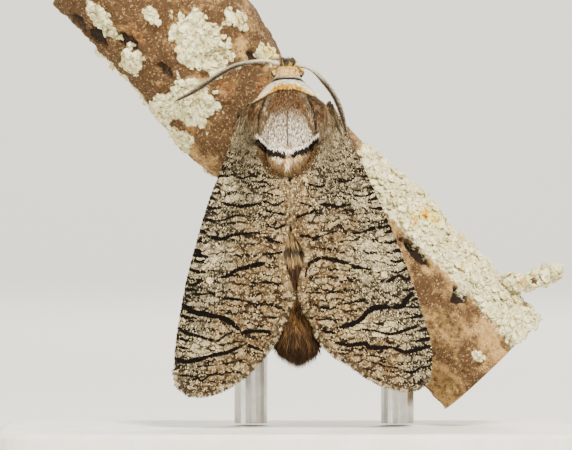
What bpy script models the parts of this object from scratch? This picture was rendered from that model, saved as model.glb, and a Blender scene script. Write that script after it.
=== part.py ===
"""A goat moth at rest, life size, head up on a cut length of branch on a plain display stand.

The moth's back faces -Y, its head points to +Z and its left side is at -X. The origin is the
middle of the underside of the stand's base. Lengths are in millimetres here, and each mesh is
scaled to metres when it is made.
"""

import math
import random

import bmesh
import bpy
import numpy as np
from mathutils import Vector, noise

MM = 0.001
GAP = 0.3

# Stand
BASE_SIZE = (76.0, 44.0, 4.0)
BASE_CORNER_RADIUS = 6.0
BASE_CHAMFER = 0.6
BASE_CORNER_STEPS = 6
ROD_RADIUS = 2.2
ROD_X = {"stand_rod_left": -5.2, "stand_rod_right": 14.3}
ROD_SIDES = 20

# Branch: a straight length that falls to the right, behind the moth
BRANCH_TOP = Vector((-25.6, 6.0, 66.0))
BRANCH_LENGTH = 75.2
BRANCH_FALL_DEG = 45.9
BRANCH_RADIUS = 8.4
BRANCH_SIDES = 32
BRANCH_RINGS = 32
BARK_RELIEF = 0.38
LICHEN_RELIEF = 0.8
LICHEN_CRUST_S = (47.0, 54.0, 63.0, 68.0)
# Swellings: place along the branch, side (1 is the upper right edge), height, half length
BRANCH_SWELLINGS = (
    (16.0, 1, 2.7, 8.0),
    (27.5, -1, 1.0, 6.0),
)
ROD_SEAT_RADIUS = 6.5
TWIG_START_S = 68.6
TWIG_START_ANGLE = 0.25
TWIG_SEAT_LIFT = 0.35
TWIG_RADIUS = 1.0
TWIG_PROFILE = (1.0, 1.15, 1.1, 0.95, 1.0, 1.1, 1.0, 0.95, 0.8)
TWIG_REACH = (7.2, -1.0, 1.8)
TWIG_SAG = (0.0, 0.0, -0.5)
TWIG_SIDES = 10

# Thorax and collar sections: height at the middle of the back, half width, depth to the back,
# depth to the front, and how far the flanks hang below the middle of the back
THORAX_X = -0.3
THORAX_Y = -8.8
COLLAR_SECTIONS = (
    (49.75, 1.5, 1.7, 1.5, 0.0),
    (49.55, 2.5, 2.6, 2.0, 0.4),
    (49.1, 3.6, 3.6, 2.9, 0.9),
    (48.4, 4.4, 4.3, 3.5, 1.4),
)
THORAX_SECTIONS = (
    (48.1, 4.5, 4.4, 3.6, 1.4),
    (46.9, 4.6, 4.8, 3.9, 1.3),
    (45.4, 4.5, 5.05, 4.2, 1.0),
    (43.9, 4.35, 5.1, 4.4, 0.8),
    (42.4, 4.1, 4.95, 4.5, 0.5),
    (40.9, 3.8, 4.5, 4.5, 0.3),
    (39.8, 3.4, 3.8, 4.4, 0.1),
    (38.9, 3.2, 3.0, 4.3, 0.0),
)
BODY_SIDES = 28

# The tuft at the rear of the thorax is a bib of locks over the roots of the folded wings. Its
# core's sections: height, half width, y of the outer face in the middle, and its fall to the
# sides for each square millimetre
BIB_SECTIONS = (
    (43.0, 2.0, -13.4, 0.15),
    (41.5, 2.8, -13.9, 0.11),
    (40.2, 2.9, -14.2, 0.08),
    (38.9, 2.1, -14.3, 0.07),
)
BIB_CORE_THICKNESS = 0.6
BIB_CORE_COLUMNS = 7
BIB_CENTRE_Z = 40.4
BIB_ROOT_REACH = (2.0, 0.9)
BIB_ROOT_RISE = 1.1
BIB_ROOT_SINK = 0.42
BIB_TIP_SINK = 0.3
BIB_FAN_DEG = 78.0
BIB_REACH = 3.45
BIB_TIP_NARROWING = 0.97
BIB_LOCKS = 17
BIB_LOCK_STAGGER = 0.12
BIB_LOCK_HALF_WIDTH = 0.5
BIB_LOCK_HALF_THICKNESS = 0.26

# Abdomen sections: height, middle x, half width, y of the back, y of the belly
ABDOMEN_SECTIONS = (
    (38.6, -0.1, 3.1, -11.3, -4.6),
    (36.0, 0.0, 3.5, -11.5, -4.3),
    (32.0, 0.1, 3.7, -11.5, -4.1),
    (28.0, 0.25, 3.7, -11.5, -4.1),
    (24.0, 0.45, 3.6, -11.3, -4.3),
    (20.0, 0.7, 3.35, -11.0, -4.9),
    (17.4, 0.9, 3.1, -10.6, -5.5),
    (15.8, 1.0, 2.7, -10.1, -6.0),
    (14.7, 1.05, 2.0, -9.5, -6.6),
    (14.0, 1.1, 0.9, -8.9, -7.3),
)
ABDOMEN_CUTS = (30.2, 21.0)
ABDOMEN_RINGS = 8

# Tiers of locks at the end of the abdomen: height of the roots, count, length, and how far the
# tips stand out from the body's surface at the roots
TIP_TIERS = (
    (18.6, 15, 4.2, 0.28),
    (16.6, 12, 3.6, -0.35),
    (15.2, 7, 2.7, -0.9),
)
TIP_LOCK_HALF_WIDTH = 0.62
TIP_LOCK_HALF_THICKNESS = 0.27
TIP_LOCK_BULGE = 0.3
TIP_LOCK_SHIFT_X = 0.15
LOCK_PROFILE = (0.75, 1.0, 0.95, 0.7, 0.18)
LOCK_SIDES = 5
LOCK_SINK = 0.55
COAT_SEED = 11

# Head
HEAD_CENTRE = Vector((-0.3, -7.8, 50.5))
HEAD_RADII = (1.75, 2.2, 1.4)
HEAD_CUT_Z = 50.05
HEAD_SIDES = 24
HEAD_ROWS = 10
EYE_RADIUS = 0.76
EYE_OFFSET = (1.42, 0.7, 0.0)
EYE_SIDES = 14
EYE_ROWS = 8
SOCKET_SIDES = 18
SOCKET_ROWS = 10
# Palps, pressed to the front of the head: the ways from its middle to the root, bend and tip of
# the right one
PALP_ROOT_WAY = (0.34, 0.85, 0.4)
PALP_BEND_WAY = (0.34, 0.65, 0.75)
PALP_TIP_WAY = (0.3, 0.3, 1.0)
PALP_RADIUS = 0.33
PALP_PROFILE = (0.8, 1.0, 1.0, 0.9, 0.75, 0.45)
PALP_SIDES = 8

# Feelers: points of the left and right one, and their half width along the way
ANTENNA_PATHS = {
    "antenna_left": (
        (-3.4, -8.2, 52.0),
        (-6.6, -7.8, 51.5),
        (-9.2, -7.0, 50.3),
        (-12.4, -5.8, 48.2),
        (-15.1, -4.6, 46.8),
    ),
    "antenna_right": (
        (2.7, -8.5, 50.9),
        (4.4, -8.3, 49.3),
        (5.9, -7.9, 47.2),
        (6.8, -7.4, 44.9),
        (7.4, -6.7, 42.4),
    ),
}
ANTENNA_ROOT_WAY = (0.78, -0.35, 0.75)
ANTENNA_ROOT_LIFT = 0.1
ANTENNA_HALF_WIDTHS = (0.27, 0.32, 0.42, 0.44, 0.4, 0.3, 0.1)
ANTENNA_FLATNESS = 0.75
ANTENNA_SIDES = 8
ANTENNA_RINGS = 20

# Forewings: the front face's four edges. The root runs from the shoulder to the inner margin,
# the outer margin from the wing tip to the inner margin.
WING_THICKNESS = 0.6
WING_BULGE = 0.7
VEIN_HEIGHT = 0.18
VEIN_HALF_WIDTH = 0.012
WING_ROWS = 18
LONG_VEINS = (0.05, 0.13, 0.22, 0.70, 0.80, 0.91)
OUTER_VEINS = (0.31, 0.40, 0.48, 0.55, 0.62)
CELL_END = 0.46
FOREWING_LEFT = {
    "root": (
        (-5.3, -6.4, 47.0),
        (-5.4, -8.0, 44.4),
        (-5.15, -9.3, 42.2),
        (-4.6, -10.7, 40.9),
        (-3.2, -11.9, 39.6),
        (-1.3, -12.6, 37.9),
        (-0.3, -12.8, 36.3),
    ),
    "costa": (
        (-5.3, -6.4, 47.0),
        (-6.9, -4.9, 44.6),
        (-8.5, -4.2, 39.4),
        (-10.7, -3.9, 33.9),
        (-12.4, -3.8, 28.1),
        (-13.7, -3.7, 23.1),
        (-14.6, -3.6, 17.9),
        (-15.2, -3.6, 13.6),
        (-15.1, -3.7, 10.9),
    ),
    "inner": (
        (-0.3, -12.8, 36.3),
        (-0.25, -13.0, 33.2),
        (-0.25, -13.0, 30.2),
        (-0.95, -12.8, 27.1),
        (-0.6, -12.6, 25.0),
        (0.15, -12.4, 22.9),
        (0.4, -12.3, 21.6),
    ),
    "margin": (
        (-15.1, -3.7, 10.9),
        (-14.2, -4.1, 9.0),
        (-12.4, -5.0, 8.4),
        (-9.8, -6.3, 8.9),
        (-6.8, -8.0, 10.5),
        (-4.2, -9.6, 12.9),
        (-2.2, -10.9, 15.6),
        (-0.8, -11.8, 18.6),
        (0.4, -12.3, 21.6),
    ),
}
FOREWING_RIGHT = {
    "root": (
        (5.3, -6.4, 47.0),
        (4.9, -8.0, 44.4),
        (4.6, -9.3, 42.2),
        (3.9, -10.7, 40.9),
        (2.6, -11.9, 39.6),
        (1.2, -12.6, 37.9),
        (0.25, -12.8, 36.3),
    ),
    "costa": (
        (5.3, -6.4, 47.0),
        (6.9, -4.9, 44.3),
        (9.7, -4.2, 38.2),
        (12.7, -3.9, 31.7),
        (15.3, -3.7, 25.3),
        (17.3, -3.6, 19.4),
        (18.4, -3.6, 15.7),
        (18.8, -3.6, 12.9),
        (18.2, -3.8, 10.2),
    ),
    "inner": (
        (0.25, -12.8, 36.3),
        (0.3, -13.0, 33.2),
        (0.4, -13.0, 30.2),
        (1.95, -12.7, 27.1),
        (1.7, -12.5, 25.0),
        (1.0, -12.4, 22.9),
        (1.1, -12.3, 21.3),
    ),
    "margin": (
        (18.2, -3.8, 10.2),
        (16.2, -4.5, 9.2),
        (13.8, -5.5, 9.4),
        (10.7, -6.8, 10.6),
        (7.7, -8.4, 12.7),
        (5.2, -9.7, 14.3),
        (3.4, -10.8, 16.9),
        (2.0, -11.8, 19.2),
        (1.1, -12.3, 21.3),
    ),
}

# Hindwings: folded under the forewings, parallel to them
HINDWING_THICKNESS = 0.5
HINDWING_SPAN_U = (0.2, 0.86)
HINDWING_SPAN_V = (0.35, 0.65)
HINDWING_ROWS = 10
HINDWING_COLUMNS = 7
HINDWING_ROOT_HEIGHT = 41.2
HINDWING_ROOT_DEG = -6.0
HINDWING_ROOT_SLANT = (0.1, -0.9, -1.6)
HINDWING_EXTRA_GAP = 0.05
HINDWING_GRID_COLUMNS = 21

# Shoulder flaps over the wing roots: heights of the front and the rear end, and the angles on
# the flank of the thorax between which they lie
TEGULA_SPAN_Z = (48.0, 41.4)
THORAX_CLEARANCE = 0.1
TEGULA_THICKNESS = 1.05
TEGULA_LOW_DEG = (12.0, 2.0, 4.0, 12.0, 24.0)
TEGULA_HIGH_DEG = (44.0, 48.0, 44.0, 38.0, 34.0)
TEGULA_ROWS = 10
TEGULA_COLUMNS = 6

# Legs: hip, knee, ankle and tip as x and z, and the knee's y. The hip lies on the underside
# of the thorax, and the ankle and the tip lie on the bark.
LEGS = {
    "leg_fore_left": ((-1.9, 46.2), (-6.7, 45.2), (-5.3, 43.4), (-3.3, 44.4), -4.3),
    "leg_middle_left": ((-2.1, 42.4), (-6.3, 41.2), (-6.1, 38.4), (-7.2, 35.6), -3.9),
    "leg_hind_left": ((-2.0, 39.9), (-4.9, 36.6), (-3.3, 34.2), (-1.0, 33.2), -3.4),
    "leg_fore_right": ((1.6, 46.2), (5.1, 45.4), (4.1, 42.6), (1.9, 43.4), -4.4),
    "leg_middle_right": ((1.8, 42.4), (5.9, 41.2), (6.5, 37.8), (8.4, 35.4), -3.8),
    "leg_hind_right": ((1.7, 39.9), (5.0, 36.6), (6.2, 32.4), (7.8, 29.0), -3.4),
}
LEG_RADII = (0.62, 0.6, 0.5, 0.42, 0.4, 0.34, 0.3, 0.27, 0.16)
LEG_SIDES = 7
LEG_RINGS = 16
HEEL_LIFT = 0.45
SOLE_LIFT = 0.4
TOE_LIFT = 0.25
THIGH_SHARE = 0.55
THIGH_RISE = (0.0, 0.0, 0.2)

# Finish of each kind of surface: colour, roughness
FINISHES = {
    "buff_scales": ((0.42, 0.33, 0.2), 0.9),
    "grey_scales": ((0.34, 0.31, 0.29), 0.9),
    "brown_scales": ((0.24, 0.17, 0.11), 0.9),
    "wing_scales": ((0.3, 0.25, 0.2), 0.85),
    "horn_brown": ((0.16, 0.1, 0.06), 0.5),
    "eye_dark": ((0.02, 0.015, 0.01), 0.2),
    "bark": ((0.26, 0.2, 0.14), 0.9),
    "lichen_twig": ((0.5, 0.5, 0.4), 0.9),
    "stand_paint": ((0.75, 0.73, 0.7), 0.6),
    "stand_metal": ((0.55, 0.54, 0.52), 0.4),
}
ROUND_EDGE_ANGLE = math.radians(40.0)


def clear_scene():
    for existing in list(bpy.data.objects):
        bpy.data.objects.remove(existing, do_unlink=True)


def finish_material(slot):
    material = bpy.data.materials.get(slot)
    if material is None:
        colour, roughness = FINISHES[slot]
        material = bpy.data.materials.new(slot)
        material.use_nodes = True
        shader = material.node_tree.nodes["Principled BSDF"]
        shader.inputs["Base Color"].default_value = (*colour, 1.0)
        shader.inputs["Roughness"].default_value = roughness
        shader.inputs["Metallic"].default_value = 1.0 if slot == "stand_metal" else 0.0
    return material


def add_solid(name, points, faces, slot):
    """One closed body from points in millimetres, with its faces turned outward."""
    mesh = bpy.data.meshes.new(name)
    mesh.from_pydata([tuple(float(c) * MM for c in p) for p in points], [], faces)
    work = bmesh.new()
    work.from_mesh(mesh)
    bmesh.ops.recalc_face_normals(work, faces=work.faces)
    work.to_mesh(mesh)
    work.free()
    mesh.materials.append(finish_material(slot))
    mesh.shade_smooth()
    mesh.set_sharp_from_angle(angle=ROUND_EDGE_ANGLE)
    solid = bpy.data.objects.new(name, mesh)
    bpy.context.scene.collection.objects.link(solid)
    return solid


def smoothstep(edge_low, edge_high, value):
    t = min(max((value - edge_low) / (edge_high - edge_low), 0.0), 1.0)
    return t * t * (3.0 - 2.0 * t)


def curve_at(points, fractions):
    """Places along a smooth curve through the points, at fractions of its length."""
    knots = np.array(points, float)
    padded = np.vstack([2 * knots[0] - knots[1], knots, 2 * knots[-1] - knots[-2]])
    steps = np.linspace(0.0, 1.0, 25)[:, None]
    pieces = []
    for i in range(len(knots) - 1):
        p0, p1, p2, p3 = padded[i : i + 4]
        piece = (
            2 * p1
            + (p2 - p0) * steps
            + (2 * p0 - 5 * p1 + 4 * p2 - p3) * steps**2
            + (3 * p1 - p0 - 3 * p2 + p3) * steps**3
        ) / 2
        pieces.append(piece if i == 0 else piece[1:])
    dense = np.vstack(pieces)
    run = np.concatenate([[0.0], np.cumsum(np.linalg.norm(np.diff(dense, axis=0), axis=1))])
    at = np.asarray(fractions) * run[-1]
    return np.stack([np.interp(at, run, dense[:, k]) for k in range(dense.shape[1])], axis=1)


def value_at(values, fraction):
    """A value read between evenly spaced ones."""
    return float(np.interp(fraction, np.linspace(0.0, 1.0, len(values)), values))


def ring_solid(name, rings, slot):
    """A body skinned over rings of equal count, each end closed to the middle of its ring."""
    count = len(rings[0])
    points = [p for ring in rings for p in ring]
    faces = []
    for i in range(len(rings) - 1):
        for j in range(count):
            k = (j + 1) % count
            a = i * count
            faces.append((a + j, a + k, a + count + k, a + count + j))
    for ring_index in (0, len(rings) - 1):
        pole = len(points)
        points.append(np.mean(rings[ring_index], axis=0))
        a = ring_index * count
        faces.extend((a + j, a + (j + 1) % count, pole) for j in range(count))
    return add_solid(name, points, faces, slot)


def sheet_solid(name, outer, inner, slot):
    """A body between two grids of points, both split into triangles the same way."""
    rows, columns = outer.shape[:2]
    points = list(outer.reshape(-1, 3)) + list(inner.reshape(-1, 3))
    offset = rows * columns
    faces = []
    for i in range(rows - 1):
        for j in range(columns - 1):
            a = i * columns + j
            b = a + 1
            c = a + columns + 1
            d = a + columns
            faces.extend([(a, b, c), (a, c, d)])
            faces.extend([(offset + c, offset + b, offset + a), (offset + d, offset + c, offset + a)])
    rim = [j for j in range(columns)]
    rim += [i * columns + columns - 1 for i in range(1, rows)]
    rim += [(rows - 1) * columns + j for j in range(columns - 2, -1, -1)]
    rim += [i * columns for i in range(rows - 2, 0, -1)]
    for here, there in zip(rim, rim[1:] + rim[:1]):
        faces.append((here, there, offset + there, offset + here))
    return add_solid(name, points, faces, slot)


def tube_rings(path, radii, sides, flatness=1.0, wide=(0.0, 0.0, 1.0)):
    """Rings across a path. The wider axis of each keeps close to the given direction."""
    tangents = np.gradient(path, axis=0)
    tangents /= np.linalg.norm(tangents, axis=1)[:, None]
    angles = np.linspace(0.0, 2 * math.pi, sides, endpoint=False)
    rings = []
    for point, tangent, radius in zip(path, tangents, radii):
        across = np.array(wide) - tangent * np.dot(wide, tangent)
        across /= np.linalg.norm(across)
        other = np.cross(tangent, across)
        ring = (
            point
            + np.outer(np.cos(angles) * radius, across)
            + np.outer(np.sin(angles) * radius * flatness, other)
        )
        rings.append(ring)
    return rings


def branch_axes():
    """Along the branch, across it to the upper right, and across it towards the moth."""
    fall = math.radians(BRANCH_FALL_DEG)
    along = np.array((math.cos(fall), 0.0, -math.sin(fall)))
    upward = np.array((math.sin(fall), 0.0, math.cos(fall)))
    towards = np.array((0.0, -1.0, 0.0))
    return along, upward, towards


def rod_seat_s(rod_x):
    """How far along the branch the rod at rod_x meets its underside."""
    along, upward, _ = branch_axes()
    return (rod_x - BRANCH_TOP.x + BRANCH_RADIUS * upward[0]) / along[0]


def bark_radius(s, angle):
    """Radius of the bark at s along the branch and at an angle from its upper right edge."""
    around = Vector((math.cos(angle), math.sin(angle), 0.0))
    ridges = noise.noise(Vector((around.x * 3.2, around.y * 3.2, s * 0.11)))
    knots = noise.noise(Vector((around.x * 1.3 + 5.0, around.y * 1.3, s * 0.07)))
    crust = noise.noise(Vector((around.x * 2.4, around.y * 2.4 + 9.0, s * 0.3)))
    crusted = smoothstep(*LICHEN_CRUST_S[:2], s) - smoothstep(*LICHEN_CRUST_S[2:], s)
    crusted *= smoothstep(0.2, 0.85, around.x)
    relief = BARK_RELIEF * (ridges + 1.2 * knots)
    relief += LICHEN_RELIEF * crusted * (0.6 + crust)
    for place, side, height, half_length in BRANCH_SWELLINGS:
        facing = smoothstep(0.0, 0.95, around.x * side)
        relief += height * facing * math.exp(-(((s - place) / half_length) ** 2))
    for rod_x in ROD_X.values():
        turn = abs(angle % (2 * math.pi) - math.pi) * BRANCH_RADIUS
        reach = math.hypot(s - rod_seat_s(rod_x), turn)
        relief *= smoothstep(0.55 * ROD_SEAT_RADIUS, ROD_SEAT_RADIUS, reach)
    return BRANCH_RADIUS + relief


def bark_point(s, angle, lift=0.0):
    along, upward, towards = branch_axes()
    radius = bark_radius(s, angle) + lift
    middle = np.array(BRANCH_TOP) + along * s
    return middle + (upward * math.cos(angle) + towards * math.sin(angle)) * radius


def on_bark(x, z, lift):
    """The place on the front of the branch behind x and z, lifted off the bark."""
    along, upward, _ = branch_axes()
    away = np.array((x, BRANCH_TOP.y, z)) - np.array(BRANCH_TOP)
    s = float(away @ along)
    offset = float(away @ upward)
    angle = math.pi / 2
    for _ in range(6):
        reach = bark_radius(s, angle) + lift
        angle = math.acos(max(-0.98, min(0.98, offset / reach)))
    return bark_point(s, angle, lift)


def build_stand():
    length, width, height = BASE_SIZE
    rings = []
    for z, inset in ((0.0, 0.0), (height - BASE_CHAMFER, 0.0), (height, BASE_CHAMFER)):
        ring = []
        for corner in range(4):
            middle_x = (length / 2 - BASE_CORNER_RADIUS) * (1, -1, -1, 1)[corner]
            middle_y = (width / 2 - BASE_CORNER_RADIUS) * (1, 1, -1, -1)[corner]
            for step in range(BASE_CORNER_STEPS + 1):
                turn = math.radians(90.0 * (corner + step / BASE_CORNER_STEPS))
                radius = BASE_CORNER_RADIUS - inset
                x = middle_x + radius * math.cos(turn)
                y = middle_y + radius * math.sin(turn)
                ring.append((x, y, z))
        rings.append(np.array(ring))
    ring_solid("stand_base", rings, "stand_paint")

    _, upward, _ = branch_axes()
    for name, rod_x in ROD_X.items():
        foot = []
        head = []
        for step in range(ROD_SIDES):
            turn = 2 * math.pi * step / ROD_SIDES
            x = rod_x + ROD_RADIUS * math.cos(turn)
            y = BRANCH_TOP.y + ROD_RADIUS * math.sin(turn)
            below = math.sqrt((BRANCH_RADIUS + GAP) ** 2 - (y - BRANCH_TOP.y) ** 2)
            seat_z = BRANCH_TOP.z - (below + (x - BRANCH_TOP.x) * upward[0]) / upward[2]
            foot.append((x, y, height + GAP))
            head.append((x, y, seat_z))
        ring_solid(name, [np.array(foot), np.array(head)], "stand_metal")


def build_branch():
    angles = np.linspace(0.0, 2 * math.pi, BRANCH_SIDES, endpoint=False)
    rings = []
    for s in np.linspace(0.0, BRANCH_LENGTH, BRANCH_RINGS):
        rings.append(np.array([bark_point(s, a) for a in angles]))
    for end in (0, -1):
        middle = rings[end].mean(axis=0)
        inner = middle + (rings[end] - middle) * 0.5
        rings.insert(0 if end == 0 else len(rings), inner)
    ring_solid("perch_branch", rings, "bark")

    root = bark_point(TWIG_START_S, TWIG_START_ANGLE, GAP + TWIG_SEAT_LIFT)
    reach = np.array(TWIG_REACH)
    middle = root + reach * 0.5 + TWIG_SAG
    path = curve_at((root, middle, root + reach), np.linspace(0.0, 1.0, len(TWIG_PROFILE)))
    radii = TWIG_RADIUS * np.array(TWIG_PROFILE)
    rings = tube_rings(path, radii, TWIG_SIDES, wide=(0.0, 1.0, 0.0))
    ring_solid("perch_twig", rings, "lichen_twig")


def trunk_ring(z, x, y, half_width, back, front, sag, scale=1.0):
    """One section of the body. Its flanks hang below the middle of the back by sag."""
    angles = np.linspace(0.0, 2 * math.pi, BODY_SIDES, endpoint=False)
    across = np.cos(angles) * scale
    depth = np.where(np.sin(angles) > 0.0, back, front) * np.sin(angles) * scale
    return np.stack([x + half_width * across, y - depth, z - sag * across**2], axis=1)


def build_trunk(name, sections, slot):
    """A stretch of thorax or collar with curved ends that match its neighbours' ends."""
    rings = []
    for index, (z, half_width, back, front, sag) in enumerate(sections):
        shape = (z, THORAX_X, THORAX_Y, half_width, back, front, sag)
        is_first = index == 0
        is_last = index == len(sections) - 1
        scales = [0.4, 0.75, 1.0] if is_first else [1.0, 0.75, 0.4] if is_last else [1.0]
        rings.extend(trunk_ring(*shape, scale=scale) for scale in scales)
    return ring_solid(name, rings, slot)


def join_solids(name, solids, slot):
    """Fuses closed pieces into one body and keeps its largest closed surface."""
    group = bpy.data.collections.new(name + "_pieces")
    bpy.context.scene.collection.children.link(group)
    first = solids[0]
    for piece in solids[1:]:
        group.objects.link(piece)
    union = first.modifiers.new("union", "BOOLEAN")
    union.operation = "UNION"
    union.operand_type = "COLLECTION"
    union.collection = group
    union.solver = "EXACT"
    evaluated = first.evaluated_get(bpy.context.evaluated_depsgraph_get())
    fused = bpy.data.meshes.new_from_object(evaluated)
    for piece in solids:
        bpy.data.objects.remove(piece, do_unlink=True)
    bpy.data.collections.remove(group)
    keep_largest_surface(fused)
    fused.materials.clear()
    fused.materials.append(finish_material(slot))
    fused.shade_smooth()
    fused.set_sharp_from_angle(angle=ROUND_EDGE_ANGLE)
    joined = bpy.data.objects.new(name, fused)
    bpy.context.scene.collection.objects.link(joined)
    return joined


def keep_largest_surface(mesh):
    work = bmesh.new()
    work.from_mesh(mesh)
    bmesh.ops.triangulate(work, faces=work.faces)
    remaining = set(work.faces)
    surfaces = []
    while remaining:
        seed = remaining.pop()
        surface = [seed]
        for face in surface:
            for edge in face.edges:
                for other in edge.link_faces:
                    if other in remaining:
                        remaining.remove(other)
                        surface.append(other)
        surfaces.append(surface)
    surfaces.sort(key=len, reverse=True)
    scraps = [face for surface in surfaces[1:] for face in surface]
    bmesh.ops.delete(work, geom=scraps, context="FACES")
    loose = [v for v in work.verts if not v.link_faces]
    bmesh.ops.delete(work, geom=loose, context="VERTS")
    work.to_mesh(mesh)
    work.free()


def flat_lock(name, root, tip, bend, wide, half_width, half_thickness, slot):
    """A tapered lock from root to tip. Its middle is pushed aside by bend."""
    middle = (root + tip) / 2 + bend
    path = curve_at((root, middle, tip), np.linspace(0.0, 1.0, len(LOCK_PROFILE)))
    radii = half_width * np.array(LOCK_PROFILE)
    flatness = half_thickness / half_width
    return ring_solid(name, tube_rings(path, radii, LOCK_SIDES, flatness, wide), slot)


def bib_face_y(x, z):
    """The y of the bib's outer face at x from its middle and at height z."""
    table = np.array(BIB_SECTIONS)[::-1]
    ridge = np.interp(z, table[:, 0], table[:, 2])
    fall = np.interp(z, table[:, 0], table[:, 3])
    return float(ridge + fall * x * x)


def build_bib():
    rows = []
    for z, half_width, _, _ in BIB_SECTIONS:
        across = np.linspace(-half_width, half_width, BIB_CORE_COLUMNS)
        rows.append([(THORAX_X + x, bib_face_y(x, z) + 0.1, z + 0.1 * x * x) for x in across])
    outer = np.array(rows)
    inner = outer + np.array((0.0, BIB_CORE_THICKNESS, 0.0))
    pieces = [sheet_solid("bib_core", outer, inner, "brown_scales")]
    draw = random.Random(COAT_SEED)
    for index in range(BIB_LOCKS):
        share = 2 * index / (BIB_LOCKS - 1) - 1
        turn = math.radians(BIB_FAN_DEG * share)
        root_x = BIB_ROOT_REACH[0] * math.sin(turn)
        root_z = BIB_CENTRE_Z + BIB_ROOT_RISE - BIB_ROOT_REACH[1] * math.cos(turn)
        reach = BIB_REACH * draw.uniform(0.93, 1.02)
        tip_x = reach * math.sin(turn) * BIB_TIP_NARROWING
        tip_z = BIB_CENTRE_Z - reach * math.cos(turn)
        lift = BIB_LOCK_STAGGER * (index % 2)
        root = np.array((THORAX_X + root_x, bib_face_y(root_x, root_z) + BIB_ROOT_SINK, root_z))
        tip = np.array((THORAX_X + tip_x, bib_face_y(tip_x, tip_z) + BIB_TIP_SINK - lift, tip_z))
        wide = (math.cos(turn), 0.12 * share, math.sin(turn))
        bend = np.array((0.0, -BIB_LOCK_STAGGER - lift, 0.0))
        sizes = (BIB_LOCK_HALF_WIDTH, BIB_LOCK_HALF_THICKNESS)
        pieces.append(flat_lock(f"bib_lock_{index}", root, tip, bend, wide, *sizes, "brown_scales"))
    return pieces


def build_thorax():
    build_trunk("collar", COLLAR_SECTIONS, "buff_scales")
    thorax = build_trunk("thorax_body", THORAX_SECTIONS, "grey_scales")
    join_solids("thorax", [thorax, *build_bib()], "grey_scales")


def abdomen_section(z):
    table = np.array(ABDOMEN_SECTIONS)[::-1]
    return [float(np.interp(z, table[:, 0], table[:, k])) for k in range(1, 5)]


def build_tip_locks():
    draw = random.Random(COAT_SEED + 1)
    pieces = []
    for tier, (root_z, count, length, flare) in enumerate(TIP_TIERS):
        x, half_width, back_y, belly_y = abdomen_section(root_z)
        y = (back_y + belly_y) / 2
        depth = (belly_y - back_y) / 2
        for index in range(count):
            turn = 2 * math.pi * (index + 0.5 * (tier % 2)) / count
            outward = np.array((math.cos(turn), math.sin(turn), 0.0))
            surface = np.array((x, y, root_z)) + outward * (half_width, depth, 0.0)
            root = surface - outward * LOCK_SINK
            fall = length * draw.uniform(0.88, 1.0)
            tip = surface + outward * flare + np.array((TIP_LOCK_SHIFT_X, 0.0, -fall))
            wide = (-math.sin(turn), math.cos(turn), 0.0)
            name = f"tip_lock_{tier}_{index}"
            sizes = (TIP_LOCK_HALF_WIDTH, TIP_LOCK_HALF_THICKNESS)
            bend = outward * TIP_LOCK_BULGE
            pieces.append(flat_lock(name, root, tip, bend, wide, *sizes, "brown_scales"))
    return pieces


def build_abdomen():
    top = ABDOMEN_SECTIONS[0][0]
    bottom = ABDOMEN_SECTIONS[-1][0]
    spans = (
        ("abdomen_front", top, ABDOMEN_CUTS[0]),
        ("abdomen_middle", ABDOMEN_CUTS[0] - GAP, ABDOMEN_CUTS[1]),
        ("abdomen_tip", ABDOMEN_CUTS[1] - GAP, bottom),
    )
    for name, start, end in spans:
        rings = []
        for z in np.linspace(start, end, ABDOMEN_RINGS):
            x, half_width, back_y, belly_y = abdomen_section(z)
            y = (back_y + belly_y) / 2
            depth = (belly_y - back_y) / 2
            rings.append(trunk_ring(z, x, y, half_width, depth, depth, 0.0))
        solid = ring_solid(name, rings, "brown_scales")
        if name == "abdomen_tip":
            solid.name = "abdomen_core"
            join_solids(name, [solid, *build_tip_locks()], "brown_scales")


def head_point(direction, lift):
    """A place on the head in a direction from its middle, lifted off its surface."""
    unit = np.array(direction, float)
    unit /= np.linalg.norm(unit)
    reach = 1.0 / math.sqrt(sum((c / r) ** 2 for c, r in zip(unit, HEAD_RADII)))
    return np.array(HEAD_CENTRE) + unit * (reach + lift)


def ball_rings(centre, radii, sides, rows, from_z=-1.0):
    """Rings of an ellipsoid from a share of its height up to its top."""
    angles = np.linspace(0.0, 2 * math.pi, sides, endpoint=False)
    rings = []
    for step in np.linspace(math.asin(max(from_z, -0.985)), math.asin(0.985), rows):
        x = centre[0] + radii[0] * math.cos(step) * np.cos(angles)
        y = centre[1] + radii[1] * math.cos(step) * np.sin(angles)
        z = np.full(sides, centre[2] + radii[2] * math.sin(step))
        rings.append(np.stack([x, y, z], axis=1))
    return rings


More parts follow.
